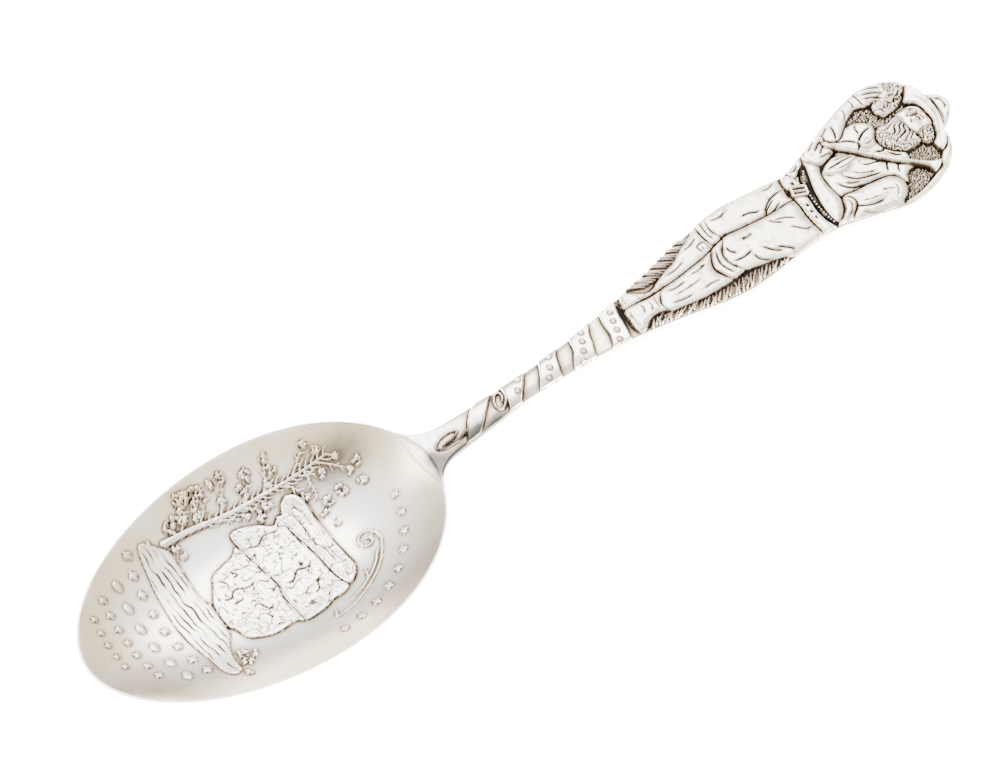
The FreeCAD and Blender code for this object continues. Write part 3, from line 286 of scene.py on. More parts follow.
# ------------------------------------------------------------------ plane geometry
def smooth_line(points, closed=False, step=0.12):
    """Dense Catmull-Rom line through points."""
    p = np.array(points, float)
    if closed:
        ext = np.vstack([p[-1], p, p[0], p[1]])
    else:
        ext = np.vstack([2 * p[0] - p[1], p, 2 * p[-1] - p[-2]])
    out = []
    for i in range(1, len(ext) - 2):
        a, b, c, d = ext[i - 1], ext[i], ext[i + 1], ext[i + 2]
        n = max(2, int(np.hypot(*(c - b)) / step))
        t = np.linspace(0, 1, n, endpoint=False)[:, None]
        out.append(0.5 * (2 * b + (c - a) * t + (2 * a - 5 * b + 4 * c - d) * t ** 2
                          + (3 * b - a - 3 * c + d) * t ** 3))
    out = np.vstack(out)
    return out if closed else np.vstack([out, p[-1]])


def line_distance(x, y, line, far=1e3):
    """Distance from grid points to a polyline, and how far along it (0..1) the nearest place is."""
    best = np.full(x.shape, far)
    along = np.zeros(x.shape)
    last = max(len(line) - 1, 1)
    for i in range(len(line) - 1):
        ax, ay = line[i]
        dx, dy = line[i + 1][0] - ax, line[i + 1][1] - ay
        size = dx * dx + dy * dy + 1e-12
        t = np.clip(((x - ax) * dx + (y - ay) * dy) / size, 0, 1)
        d = np.hypot(x - ax - t * dx, y - ay - t * dy)
        near = d < best
        best = np.where(near, d, best)
        along = np.where(near, (i + t) / last, along)
    return best, along


def inside(x, y, loop):
    hit = np.zeros(x.shape, bool)
    for (ax, ay), (bx, by) in zip(loop, np.roll(loop, -1, axis=0)):
        if ay == by:
            continue
        crosses = (ay > y) != (by > y)
        hit ^= crosses & (x < (bx - ax) * (y - ay) / (by - ay) + ax)
    return hit


def loop_level(x, y, loop):
    """Signed distance to a closed loop, positive inside."""
    d, _ = line_distance(x, y, np.vstack([loop, loop[:1]]))
    return np.where(inside(x, y, loop), d, -d)


def side_line(*sides):
    pts = np.vstack([smooth_line(s, step=0.1) for s in sides])
    order = np.argsort(pts[:, 0], kind="stable")
    return pts[order]


CROWN_TIP = 3
FAR_LINE = side_line(FAR_EDGE, NUGGET_EDGE, BRIM_EDGE, CROWN_EDGE[:CROWN_TIP + 1])
NEAR_LINE = side_line(CROWN_EDGE[CROWN_TIP:], NEAR_EDGE)


def bowl_half(x):
    tip = np.abs((BOWL_CENTRE_X - x) / BOWL_TIP_REACH) ** TIP_FULLNESS
    neck = np.abs((x - BOWL_CENTRE_X) / BOWL_NECK_REACH) ** NECK_FULLNESS
    along = np.where(x < BOWL_CENTRE_X, tip, neck)
    return BOWL_HALF_WIDTH * np.clip(1 - along, 0, 1) ** (1 / CROSS_FULLNESS)


def far_y(x):
    return np.where(x <= NECK_START_X, bowl_half(x), np.interp(x, FAR_LINE[:, 0], FAR_LINE[:, 1]))


def near_y(x):
    return np.where(x <= NECK_START_X, -bowl_half(x), np.interp(x, NEAR_LINE[:, 0], NEAR_LINE[:, 1]))


xs = np.concatenate([TIP_X + 52 * (1 - np.cos(np.linspace(0, math.pi / 2, 260))),
                     np.linspace(NECK_START_X, END_X, 700)[1:]])
RIM_LOOP = np.vstack([np.column_stack([xs, far_y(xs)]), np.column_stack([xs, near_y(xs)])[::-1]])


def edge_distance(x, y):
    """Distance inwards from the spoon's edge."""
    return line_distance(x, y, RIM_LOOP[::2])[0]


# ------------------------------------------------------------------ relief maps
class Sheet:
    """A grid of relief heights over part of the spoon's face."""

    def __init__(self, x0, x1, y0, y1, cell):
        self.cell = cell
        self.xs = np.arange(x0, x1, cell)
        self.ys = np.arange(y0, y1, cell)
        self.height = np.zeros((len(self.xs), len(self.ys)))
        self.dark = np.zeros_like(self.height)

    def window(self, x0, x1, y0, y1):
        i0 = max(int((x0 - self.xs[0]) / self.cell) - 2, 0)
        i1 = min(int((x1 - self.xs[0]) / self.cell) + 3, len(self.xs))
        j0 = max(int((y0 - self.ys[0]) / self.cell) - 2, 0)
        j1 = min(int((y1 - self.ys[0]) / self.cell) + 3, len(self.ys))
        return i0, i1, j0, j1

    def read(self, data, x, y):
        u = np.clip((x - self.xs[0]) / self.cell, 0, len(self.xs) - 1.001)
        v = np.clip((y - self.ys[0]) / self.cell, 0, len(self.ys) - 1.001)
        i, j = u.astype(int), v.astype(int)
        u, v = u - i, v - j
        return ((1 - u) * (1 - v) * data[i, j] + u * (1 - v) * data[i + 1, j]
                + (1 - u) * v * data[i, j + 1] + u * v * data[i + 1, j + 1])


HANDLE = Sheet(-20.0, 76.0, -11.0, 12.5, HANDLE_CELL)
BOWL = Sheet(-75.0, -21.0, -17.5, 17.5, BOWL_CELL)


def wobble(x, y, scale, seed):
    """Smooth seeded noise, about -1 to 1."""
    rng = np.random.default_rng(seed)
    total = np.zeros(np.shape(x))
    for _ in range(7):
        turn, phase, stretch = rng.uniform(0, 2 * math.pi), rng.uniform(0, 2 * math.pi), rng.uniform(0.6, 1.7)
        k = 2 * math.pi / scale * stretch
        total += np.sin(k * (x * math.cos(turn) + y * math.sin(turn)) + phase)
    return total / 4


def dome(level, radius):
    """Rounded shoulder: 0 at the outline, 1 from radius inwards."""
    t = 1 - np.clip(level / radius, 0, 1)
    return np.sqrt(np.clip(1 - t * t, 0, 1))


def strokes(x, y, lines):
    """Sum of grooves (depth > 0) and ridges (depth < 0) drawn along smooth lines."""
    total = np.zeros(x.shape)
    for width, depth, line in lines:
        pts = smooth_line(line, step=0.25) if len(line) > 2 else np.array(line, float)
        d, along = line_distance(x, y, pts)
        fade = np.clip(np.minimum(along, 1 - along) * 5, 0.25, 1)
        total -= depth * fade * np.exp(-(d / width) ** 2)
    return total


def bumps(x, y, spots):
    total = np.zeros(x.shape)
    for cx, cy, sx, sy, amp in spots:
        total += amp * np.exp(-((x - cx) / sx) ** 2 - ((y - cy) / sy) ** 2)
    return total


PIECES = []
INK = 1.25                     # darkness of a groove per mm of its depth


def element(name, nodes, sheet, box, level_fn, height_fn, limit=None, slot="struck_silver", ink_fn=None):
    """Sculpt one element: level_fn gives its outline as a signed distance, height_fn its relief."""
    i0, i1, j0, j1 = sheet.window(*box)
    x, y = np.meshgrid(sheet.xs[i0:i1], sheet.ys[j0:j1], indexing="ij")
    level = level_fn(x, y)
    if limit is not None:
        edge = edge_distance(x, y) * np.where(inside(x, y, RIM_LOOP[::2]), 1, -1) - limit
        level = np.minimum(level, edge)
    height = height_fn(x, y, level)
    grown = np.where(level > 0, np.maximum(height, 0.02), 0)
    area = sheet.height[i0:i1, j0:j1]
    np.maximum(area, grown, out=area)
    ink = np.zeros(x.shape) if ink_fn is None else ink_fn(x, y)
    PIECES.append({"name": name, "nodes": nodes, "sheet": sheet, "x": x, "y": y, "level": level,
                   "height": grown, "slot": slot, "ink": ink, "window": (i0, i1, j0, j1)})


def outline_element(name, nodes, sheet, points, rise, radius, lines=(), spots=(), texture=None,
                    limit=None, slot="struck_silver", corners=False, lift=0.0, stain=0.0, texture_ink=None,
                    ink_gain=INK, steady=False):
    loop = np.array(points, float) if corners else smooth_line(points, closed=True)
    box = (loop[:, 0].min(), loop[:, 0].max(), loop[:, 1].min(), loop[:, 1].max())

    def height(x, y, level):
        h = rise * (lift + (1 - lift) * dome(level, radius))
        h = h + (strokes(x, y, lines) + bumps(x, y, spots)) * dome(level, 0.25)
        if texture is not None:
            h = h + texture(x, y) * dome(level, 0.3)
        return h

    cut = [groove for groove in lines if groove[1] > 0]
    grooves = [(max(0.7 * width, 0.085), -ink_gain * depth, line) for width, depth, line in cut]
    # wide soft painted shade round each groove, beside its dark core
    shade_halos = [(0.16 + 1.5 * width, -0.34 * INK * depth, line) for width, depth, line in cut]

    def ink(x, y):
        drawn = strokes(x, y, grooves)
        if not steady:
            drawn = drawn * np.clip(0.8 + 0.55 * wobble(x, y, 1.5, 81), 0.15, 1.3)
        drawn = drawn + strokes(x, y, shade_halos)
        return stain + drawn + (0 if texture_ink is None else texture_ink(x, y))

    element(name, nodes, sheet, box, lambda x, y: loop_level(x, y, loop), height, limit, slot, ink)


def line_element(name, nodes, sheet, lines, wide, thin, rise, texture=None, limit=None,
                 slot="struck_silver"):
    """Element made of tapered lines."""
    dense = [smooth_line(l, step=0.2) if len(l) > 2 else np.array(l, float) for l in lines]
    allp = np.vstack(dense)
    box = (allp[:, 0].min() - wide, allp[:, 0].max() + wide, allp[:, 1].min() - wide, allp[:, 1].max() + wide)

    def level(x, y):
        best = np.full(x.shape, -1e3)
        for line in dense:
            d, along = line_distance(x, y, line)
            best = np.maximum(best, (wide + (thin - wide) * along) / 2 - d)
        return best

    def height(x, y, lv):
        h = rise * dome(lv, wide / 2)
        return h if texture is None else h + texture(x, y) * dome(lv, wide / 3)

    element(name, nodes, sheet, box, level, height, limit, slot)


def spot_element(name, nodes, sheet, spots, rise, lobes=0, texture=None, slot="struck_silver", stretch=1.0,
                 stain=0.0):
    """Element made of round or leafy spots (x, y, radius)."""
    s = np.array(spots, float)
    r = s[:, 2].max() * 1.4
    box = (s[:, 0].min() - r, s[:, 0].max() + r, s[:, 1].min() - r, s[:, 1].max() + r)

    def level(x, y):
        best = np.full(x.shape, -1e3)
        for k, (cx, cy, radius) in enumerate(spots):
            dx, dy = x - cx, (y - cy) / stretch
            d = np.hypot(dx, dy)
            if lobes:
                turn = np.arctan2(dy, dx)
                radius = radius * (1 + 0.2 * np.sin(lobes * turn + k)
                                   + 0.1 * np.sin((2 * lobes - 1) * turn + 2 * k))
            best = np.maximum(best, radius - d)
        return best

    def height(x, y, lv):
        h = rise * dome(lv, min(0.55, 0.8 * s[:, 2].max()))
        return h if texture is None else h + texture(x, y) * dome(lv, 0.3)

    element(name, nodes, sheet, box, level, height, None, slot, lambda x, y: np.full(x.shape, stain))


# ------------------------------------------------------------------ the figure on the handle
RISE_SCALE = 0.62              # sculpted relief is lower than the CAD's flat-topped stand-in
PROUD = {"pick_shaft": 1.55, "forearm": 1.15, "lower_hand": 1.2, "rolled_cuff": 1.15,
    "neckerchief_tail": 1.1, "face": 1.2, "beard": 1.1, "hat_brim": 1.15, "upper_sleeve": 1.05,
    "near_thigh": 1.05}
LEAN = (-0.15, -0.42)          # the figure's middle stands this far off its outline's middle
PLATE_MARGIN = 0.1             # the figure keeps this far inside the plate's edge
RIBBON_MARGIN = 0.04


def settle(points):
    """Lean the inner parts of the figure while its outer edge stays flush with the plate."""
    out = []
    for p in points:
        lo, hi = float(near_y(np.array(p[0]))), float(far_y(np.array(p[0])))
        hi = max(hi, lo + 1.0)
        w = max(1 - ((p[1] - 0.5 * (lo + hi)) / (0.5 * (hi - lo))) ** 2, 0)
        out.append((p[0] + LEAN[0] * w, p[1] + LEAN[1] * w) + tuple(p[2:]))
    return out


def settle_lines(lines):
    return [(width, depth, settle(line)) for width, depth, line in lines]


def worley(x, y, spacing, seed):
    """Distances to the nearest and second nearest of a seeded set of scattered points."""
    i, j = np.floor(x / spacing).astype(int), np.floor(y / spacing).astype(int)
    first = np.full(x.shape, 1e3)
    second = np.full(x.shape, 1e3)
    for di in (-1, 0, 1):
        for dj in (-1, 0, 1):
            a, b = i + di, j + dj
            u = np.sin(a * 127.1 + b * 311.7 + seed) * 43758.5453
            v = np.sin(a * 269.5 + b * 183.3 + seed) * 43758.5453
            d = np.hypot((a + u - np.floor(u)) * spacing - x, (b + v - np.floor(v)) * spacing - y)
            second = np.where(d < first, first, np.minimum(second, d))
            first = np.minimum(first, d)
    return first, second


def cracks(x, y, spacing, seed, width=0.1):
    """1 along irregular, broken cracks."""
    bend = 0.25 * spacing
    u = x + bend * wobble(x, y, 1.3 * spacing, seed + 1)
    v = y + bend * wobble(x, y, 1.3 * spacing, seed + 2)
    first, second = worley(u, v, spacing, seed)
    broken = np.clip(0.5 + wobble(x, y, 1.1 * spacing, seed + 3), 0, 1)
    return np.exp(-((second - first) / width) ** 2) * broken


def curls(x, y):
    """Short spiral locks scattered over beard and hair."""
    first, _ = worley(x, y, 0.85, 3.0)
    warp = 0.5 * wobble(x, y, 0.9, 4)
    return 0.17 * np.sin(2 * math.pi * first / 0.4 + 2 * warp + 1.2 * x) + 0.06 * wobble(x, y, 1.6, 3)


MOUTH = (67.2, 3.0)


def lock_wave(x, y):
    turn, reach = np.arctan2(y - MOUTH[1], x - MOUTH[0]), np.hypot(x - MOUTH[0], y - MOUTH[1])
    return 26 * turn + 2.6 * np.sin(2.1 * reach + 3 * turn) + 1.6 * wobble(x, y, 2.4, 91), reach


def beard_locks(x, y):
    """Wavy locks running out from the mouth, curling up at the beard's edge."""
    wave, reach = lock_wave(x, y)
    mix = np.clip((reach - 3.4) / 1.4, 0, 1)
    return (1 - mix) * 0.16 * np.sin(wave) + mix * 1.1 * curls(x, y)


def beard_ink(x, y):
    wave, reach = lock_wave(x, y)
    mix = np.clip((reach - 3.4) / 1.4, 0, 1)
    return ((1 - mix) * 0.75 * np.clip(-np.sin(wave) - 0.3, 0, 1)
            + mix * np.clip(-2.6 * curls(x, y) - 0.1, 0, 0.6))


def hair_ink(x, y):
    return np.clip(-2.2 * curls(x, y) + 0.1, 0, 0.6)


def cloth_ink(x, y):
    """Faint mottled wear."""
    return (0.3 * np.clip(wobble(x, y, 1.6, 83) - 0.35, 0, 1)
            + 0.16 * np.clip(wobble(x, y, 0.6, 84) - 0.3, 0, 1)
            + 0.12 * np.clip(wobble(x, y, 3.4, 86), 0, 1))


def lumps_ink(x, y):
    return 0.75 * cracks(x, y, 1.15, 93, 0.16) + 0.4 * cracks(x, y, 0.6, 97, 0.12)


def lumps(x, y):
    """Rough broken lumps with deep crevices."""
    return 0.14 * wobble(x, y, 1.3, 12) + 0.07 * wobble(x, y, 0.6, 13) - 0.3 * lumps_ink(x, y)


def cloth(x, y):
    return 0.02 * wobble(x, y, 3.2, 21)


def leather(x, y):
    return 0.012 * wobble(x, y, 1.6, 31)


def leaves(x, y):
    return 0.07 * wobble(x, y, 0.5, 41) + 0.06 * wobble(x, y, 0.3, 42)


def stone(x, y):
    return 0.04 * wobble(x, y, 2.4, 51) - 0.12 * cracks(x, y, 1.9, 53, 0.12) - 0.07 * cracks(x, y, 0.9, 57)


def stone_ink(x, y):
    return 0.42 * cracks(x, y, 1.9, 53, 0.1) + 0.2 * cracks(x, y, 0.9, 57, 0.08)


BED_THICKNESS = 0.85


def strata(x, y):
    """Long wavy beds, broken here and there."""
    level = x + 0.22 * wobble(x, y, 5.0, 61) + 0.1 * wobble(x, y, 1.8, 63) + 0.02 * y
    groove = -0.1 * np.clip(np.cos(2 * math.pi * level / BED_THICKNESS) - 0.55, 0, 1)
    return groove * np.clip(1.6 + 1.5 * wobble(x, y, 4.0, 62), 0.2, 2.2)


def strata_ink(x, y):
    return -3.4 * strata(x, y) + 0.12 * cracks(x, y, 1.4, 65, 0.12)


DETAIL = {
    "lower_hand": dict(radius=0.7, ink_gain=1.9, lines=[
         (0.09, 0.26, [(54.2, 7.65), (53.1, 7.15), (52, 6.55)]), (0.09, 0.26, [(55, 7.2), (53.9, 6.75),
        (52.8, 6.1)]), (0.09, 0.24, [(55.1, 6.4), (54, 6), (53.1, 5.35)]), (0.1, 0.26, [(52.6, 5),
        (53.5, 4.95), (54.9, 4.85)]), (0.22, -0.12, [(54.7, 7.5), (53.5, 7), (52.3, 6.3)]),
        (0.22, -0.12, [(55.1, 6.85), (54, 6.4), (52.9, 5.75)]), (0.2, -0.12, [(53.8, 7.9), (52.8, 7.4),
        (51.7, 6.9)]), (0.2, -0.1, [(52.4, 4.5), (53.5, 4.55), (54.5, 4.7)])]),
    "pick_shaft": dict(radius=0.4, lines=[
        (0.07, 0.07, [(55.1, 6), (58.1, 2.3), (63.5, -4.7)]), (0.06, 0.05, [(56.2, 4.2), (59.5, 0.3),
        (61.5, -2.1)])]),
    "raised_hand": dict(radius=0.7, ink_gain=1.9, lines=[
         (0.09, 0.26, [(65.4, 10.4), (66.8, 9.9), (68, 9.1)]), (0.09, 0.26, [(64.6, 9.9), (66.2, 9.3),
        (67.6, 8.3)]), (0.09, 0.26, [(64.5, 9.2), (65.9, 8.6), (67, 7.6)]), (0.22, -0.12, [(64.9, 10.2),
        (66.5, 9.6), (67.8, 8.7)]), (0.22, -0.12, [(64.6, 9.55), (66.1, 8.9), (67.3, 7.95)]),
        (0.2, -0.1, [(66, 10.7), (67.1, 10.2), (68.2, 9.5)]), (0.2, -0.1, [(64.4, 8.8), (65.6, 8.3),
        (66.5, 7.5)])]),
    "hat_brim": dict(radius=0.42, lines=[
         (0.1, 0.12, [(69.8, 6.1), (70.6, 5.6), (71, 4.4), (71, 3), (70.8, 1.6), (70.3, 0.3),
        (69.6, -0.9), (68.8, -2.1), (67.9, -3.1)]), (0.16, -0.16, [(71.2, 7), (71.6, 5.6), (71.65, 4.2),
        (71.5, 2.6), (71.1, 1), (70.6, -0.3), (69.9, -1.6), (69.1, -2.7), (68.2, -3.5)])]),
    "hat_crown": dict(radius=0.6, lines=[
        (0.13, 0.22, [(72.3, 3.4), (73.1, 2.6), (73, 1.6), (72.4, 1)]), (0.1, 0.16, [(72.25, 4.2),
        (72.1, 2.8), (71.8, 1.2), (71.2, -0.3), (70.7, -1.1)])]),
    "ore_nugget": dict(radius=0.8, texture=lumps, texture_ink=lumps_ink, ink_gain=2.2, lines=[
         (0.12, 0.2, [(65.2, 6.6), (66.4, 6.3), (67.4, 6.9)]), (0.1, 0.16, [(67.6, 5.8), (68.2, 6.8),
        (69.4, 7.2), (70.2, 8)]), (0.1, 0.15, [(68.7, 8), (69.3, 8.8), (69.2, 9.6)])]),
    "neckerchief_knot": dict(radius=0.6, lines=[
        (0.1, 0.2, [(59.3, 3.5), (60.1, 3.2), (60.9, 3.3)]), (0.08, 0.14, [(59.6, 2.9), (60.2, 3),
        (60.7, 2.9)])]),
    "neckerchief_tail": dict(radius=0.6, lines=[
         (0.11, 0.22, [(57.2, 2.75), (55.5, 2.95), (53.6, 3), (52, 3)]), (0.09, 0.15, [(56.4, 2.3),
        (55, 2.15), (53.4, 2.3)]), (0.09, 0.15, [(56.6, 3.2), (55.3, 3.5), (53.7, 3.7)])]),
    "beard": dict(radius=0.8, texture=beard_locks, texture_ink=beard_ink, ink_gain=2.4, lines=[
         (0.26, -0.42, [(67, 3.25), (66.8, 2.5), (66.2, 1.9), (65.4, 1.75)]), (0.22, -0.36, [(67, 3.7),
        (66.8, 4.1), (66.1, 4.3)]), (0.09, 0.22, [(66.35, 3), (66.25, 3.35), (66.35, 3.8)]),
        (0.09, 0.14, [(66.5, 2.5), (65.9, 1.7), (65.1, 1.4)])]),
    "hair": dict(radius=0.5, texture=curls, texture_ink=hair_ink, lines=[
         (0.12, -0.18, [(67.1, 0.1), (67.7, 0.3), (68.1, 0), (68, -0.5), (67.4, -0.7)])]),
    # the face's grooves beside the nose and under the brows are painted shade
    "face": dict(radius=1.2, ink_gain=3.6, steady=True, lines=[
         (0.24, -0.45, [(69.15, 3.1), (68.6, 3.25), (67.8, 3.45)]), (0.15, -0.2, [(69.3, 1.35), (69.5, 2),
        (69.3, 2.75)]), (0.09, 0.17, [(68.95, 2.72), (68.5, 2.88), (68, 3), (67.75, 3.1)]),
        (0.08, 0.17, [(67.55, 3.05), (67.42, 3.4), (67.55, 3.75)]), (0.09, 0.13, [(68.9, 1.4), (69.08, 2),
        (68.95, 2.6)]), (0.09, 0.13, [(68.98, 3.7), (68.9, 4.05), (68.68, 4.4)]),
        (0.08, 0.18, [(68.38, 1.62), (68.56, 2), (68.56, 2.3), (68.36, 2.66)]),
        (0.06, 0.08, [(68.25, 1.85), (68.18, 2.15), (68.26, 2.45)]), (0.08, 0.17, [(68.42, 3.78),
        (68.5, 4.05), (68.34, 4.34)]), (0.2, -0.12, [(67.95, 1.2), (67.65, 1.8), (67.5, 2.4)]),
        (0.08, 0.13, [(67.75, 2.75), (67.4, 2.5), (67.1, 2.1)]), (0.06, 0.06, [(69.65, 1.6), (69.75, 2.4),
        (69.65, 3.2)])], spots=[(68.6, 2.15, 0.3, 0.5, -0.28), (68.6, 4.05, 0.26, 0.3, -0.224),
        (68.5, 2.15, 0.17, 0.3, 0.22), (68.48, 4.05, 0.15, 0.19, 0.17), (67.7, 1.5, 0.55, 0.6, 0.14),
        (67.62, 3.48, 0.22, 0.24, 0.252), (67.6, 3.12, 0.14, 0.13, 0.14), (67.6, 3.8, 0.12, 0.11, 0.112),
        (67.5, 4.2, 0.35, 0.25, 0.084)]),
    "pick_head": dict(radius=0.4, lines=[
        (0.1, 0.1, [(69.9, -2.6), (68.4, -4.8), (65.8, -6.3), (62, -7.6), (59, -8)])]),
    "rolled_cuff": dict(radius=0.45, lines=[
        (0.12, 0.24, [(50.5, -2.3), (50.95, -3.2), (50.4, -4.2), (49.2, -5.1), (47.6, -5.7)])]),
    "forearm": dict(radius=1.3, lines=[
        (0.4, 0.1, [(48.1, -3), (48.9, 0), (49.8, 2.5), (51, 4.6)]), (0.1, 0.12, [(51.9, 4.7),
        (51.2, 5.2), (50.6, 5.9)])]),
    "upper_sleeve": dict(radius=1.5, texture=cloth, texture_ink=cloth_ink, lines=[
         (0.16, 0.22, [(51.2, -3.9), (52.2, -4.9), (53.6, -5.5), (55.4, -5.7)]),
        (0.14, 0.17, [(51.1, -5.2), (52.3, -6.5), (54.2, -7.2)]), (0.12, 0.15, [(52.6, -3.9),
        (53.6, -4.5), (55.1, -4.7)]), (0.13, 0.13, [(58.2, -4.3), (57.9, -5.4), (57, -6.4)]),
        (0.3, -0.15, [(52.4, -4.3), (54.4, -5), (56.6, -5.2)]), (0.3, -0.12, [(52.6, -5.8), (54.6, -6.5),
        (56.4, -6.6)]), (0.1, 0.1, [(55.9, -4.2), (57.1, -4.6), (57.8, -5.3)])]),
    "raised_arm": dict(radius=1.1, texture=cloth, texture_ink=cloth_ink, lines=[
         (0.15, 0.22, [(56.9, 6.2), (57.5, 7.3), (57.9, 8.6)]), (0.15, 0.2, [(60.2, 7.9), (60.9, 8.8),
        (61.1, 9.8)]), (0.13, 0.2, [(62.6, 8.7), (62.9, 9.6), (62.8, 10.6)]), (0.12, 0.18, [(54.9, 7.6),
        (56.2, 8), (57.4, 8.7)]), (0.12, 0.2, [(64, 8.4), (64.1, 9.6), (64, 10.9)])]),
    "belt_buckle": dict(radius=0.2, corners=True),
    "belt_tongue": dict(radius=0.35, spots=[(46.7, 4, 0.22, 0.22, -0.5)], lines=[
        (0.07, 0.1, [(45.8, 3.6), (45.8, 4.4), (46.3, 5.2), (46.9, 4.9), (47.3, 4.1), (47.3, 3.6)])]),
    "belt": dict(radius=0.4, texture=leather, lines=[
         (0.08, 0.16, [(45.55, 1.8), (45.4, 0.5), (45.1, -1), (44.9, -2.5), (44.8, -4), (44.85, -5.3)]),
        (0.08, 0.16, [(46.75, 1.7), (46.4, 0), (46.1, -1), (46, -2.5), (45.95, -4),
        (46.2, -5.3)])], spots=[(45.95, 0.15, 0.2, 0.2, -0.5), (45.7, -1, 0.2, 0.2, -0.5),
        (45.5, -2.2, 0.18, 0.18, -0.4)]),
    "cartridge_belt": dict(radius=0.3, texture=leather, stain=0.75),
    "shirt_waist": dict(radius=0.8, texture=cloth, texture_ink=cloth_ink, lines=[
         (0.14, 0.2, [(47.4, 5.6), (48.5, 5.5), (49.6, 6.1)]), (0.14, 0.18, [(47.5, 6.4), (48.8, 6.4),
        (50.1, 6.9)]), (0.12, 0.16, [(47.4, 4.5), (48.4, 4.7), (49.2, 5.3)])]),
    "shirt_front": dict(radius=0.9, texture=cloth, texture_ink=cloth_ink, lines=[
         (0.13, 0.26, [(53.4, 1.2), (54, 0.2), (55, -0.7), (56.8, -1.3), (58.2, -1.7)]),
        (0.12, 0.2, [(54.9, 0.9), (55.6, 0), (56.8, -0.6), (57.9, -0.9)]), (0.14, 0.28, [(51.9, 0.7),
        (52.3, -0.5), (53.4, -1.4), (55.2, -1.9)]), (0.1, 0.17, [(52.7, 0.1), (53.6, -0.7),
        (54.9, -1.2)]), (0.22, -0.16, [(53, 0.6), (53.9, -0.5), (55.6, -1.4), (57.6, -2)]),
        (0.2, -0.14, [(54.6, 0.7), (55.8, -0.4), (57.2, -1.1)]), (0.1, 0.15, [(56.7, 1.3), (57.4, 0.6),
        (58.6, 0.2), (59.6, -0.2)]), (0.12, 0.19, [(58.9, -2.2), (59.5, -1.2), (60.2, -0.4)]),
        (0.1, 0.15, [(60, -3.4), (60.6, -2.3), (61.3, -1.6)]), (0.1, 0.14, [(51.6, -1.2), (52.4, -2),
        (54, -2.4), (55.8, -2.6)])]),
    "shirt_collar": dict(radius=0.8, texture=cloth, texture_ink=cloth_ink, lines=[
         (0.14, 0.26, [(59, 4.1), (60, 4.7), (61, 5.1), (62.5, 5.2)]), (0.15, 0.2, [(56.6, 5.9),
        (58, 5.2), (59, 4.1)]), (0.14, 0.18, [(60.9, 6.9), (60.3, 6.1), (60.2, 5.1)]),
        (0.14, 0.2, [(61.4, 1.4), (60.7, 1.1), (59.9, 1.6)]), (0.14, 0.2, [(62.6, -1.2), (61.8, -0.5),
        (61.2, 0.5)]), (0.13, 0.2, [(58.2, 3.1), (58.8, 3.7), (59, 4.2)])]),
    "near_knee_cuff": dict(radius=0.5, lines=[
        (0.14, 0.3, [(30.7, 1.9), (29.75, 0.2), (29.6, -0.9), (29.9, -2.2), (30.5, -3.3)])]),
    "near_boot": dict(radius=0.8, texture=leather, lines=[
         (0.09, 0.2, [(14.4, 0.8), (14.1, -0.6), (14, -2), (14.2, -2.9)]), (0.1, 0.16, [(16.1, 0.9),
        (16.3, 0), (15.8, -0.9)]), (0.1, 0.16, [(17.4, 0.7), (17.5, -0.3), (16.9, -1.2)]),
        (0.11, 0.2, [(18.6, 0.8), (18.3, -0.2), (18.1, -1.5)]), (0.08, 0.12, [(15.4, -1.7), (15, -2),
        (14.5, -2)])]),
    "near_calf": dict(radius=1.7, texture=cloth, texture_ink=cloth_ink, lines=[
         (0.15, 0.18, [(20.6, 0.3), (22, 0), (24, 0.2)]), (0.15, 0.18, [(19.8, -1.7), (21.4, -2.1),
        (23.4, -2.3)]), (0.15, 0.16, [(28.2, 0.9), (26.4, 0.5), (24.9, 0.6)]), (0.15, 0.16, [(28.2, -2.6),
        (26.4, -2.3), (24.8, -2.5)]), (0.12, 0.12, [(20.8, -0.9), (23.2, -1), (26.2, -0.8)])]),
    "near_thigh": dict(radius=2, texture=cloth, lines=[
         (0.1, 0.28, [(41.1, -0.1), (40.2, 0.7), (39.8, 1.4)]), (0.09, 0.24, [(43.2, -0.6), (41.8, 0.4),
        (40.4, 0.9)]), (0.1, 0.24, [(44.1, -3.1), (42.9, -2.9), (41.6, -1.3)]), (0.16, 0.24, [(32.1, 1.3),
        (32.1, 0.3), (32.7, -0.4)]), (0.16, 0.22, [(34.3, -1.8), (34.5, -3.1), (35.7, -4.3)]),
        (0.16, 0.22, [(36, -1.5), (36.9, -3), (38.1, -4.1)]), (0.18, 0.22, [(39.5, -5.1), (39, -4.2),
        (37.6, -2.7)]), (0.25, 0.16, [(36.8, 1.3), (35.9, 0.9), (34.4, 1)]), (0.16, 0.2, [(31.2, -1.2),
        (33, -1.5), (34.8, -1.2)])]),
    "far_knee_cuff": dict(radius=0.45, lines=[
        (0.12, 0.26, [(31.9, 6.8), (31.5, 5.2), (31.4, 4), (31.7, 2.9)])]),
    "far_boot": dict(radius=0.6, texture=leather, lines=[
         (0.08, 0.18, [(14.7, 1.5), (14.8, 2.3), (15.2, 3)]), (0.08, 0.16, [(19.5, 1.3), (19.7, 1.9)]),
        (0.08, 0.16, [(18.7, 1.3), (18.9, 1.8)]), (0.08, 0.16, [(17.8, 1.3), (18, 1.9)]),
        (0.08, 0.14, [(16.8, 1.3), (16.9, 2.3)])]),
    "far_calf": dict(radius=1.1, texture=cloth, texture_ink=cloth_ink, lines=[
         (0.13, 0.18, [(21.8, 2.3), (23.8, 2.3), (26, 2.8)]), (0.13, 0.18, [(26.6, 4.1), (28.3, 4.2),
        (30, 4.9)]), (0.08, 0.2, [(29, 2.3), (28.9, 3.5), (30.2, 3.6), (30.3, 2.4)]),
        (0.08, 0.14, [(29.5, 2.6), (29.5, 3.2)])]),
    # the wide groove along the far thigh's lower edge is painted shade under the thigh
    "far_thigh": dict(radius=1.8, texture=cloth, lines=[
         (0.1, 0.3, [(42.9, 3.7), (41.1, 2.9), (40, 2)]), (0.09, 0.24, [(43.4, 2.8), (41.6, 2.2),
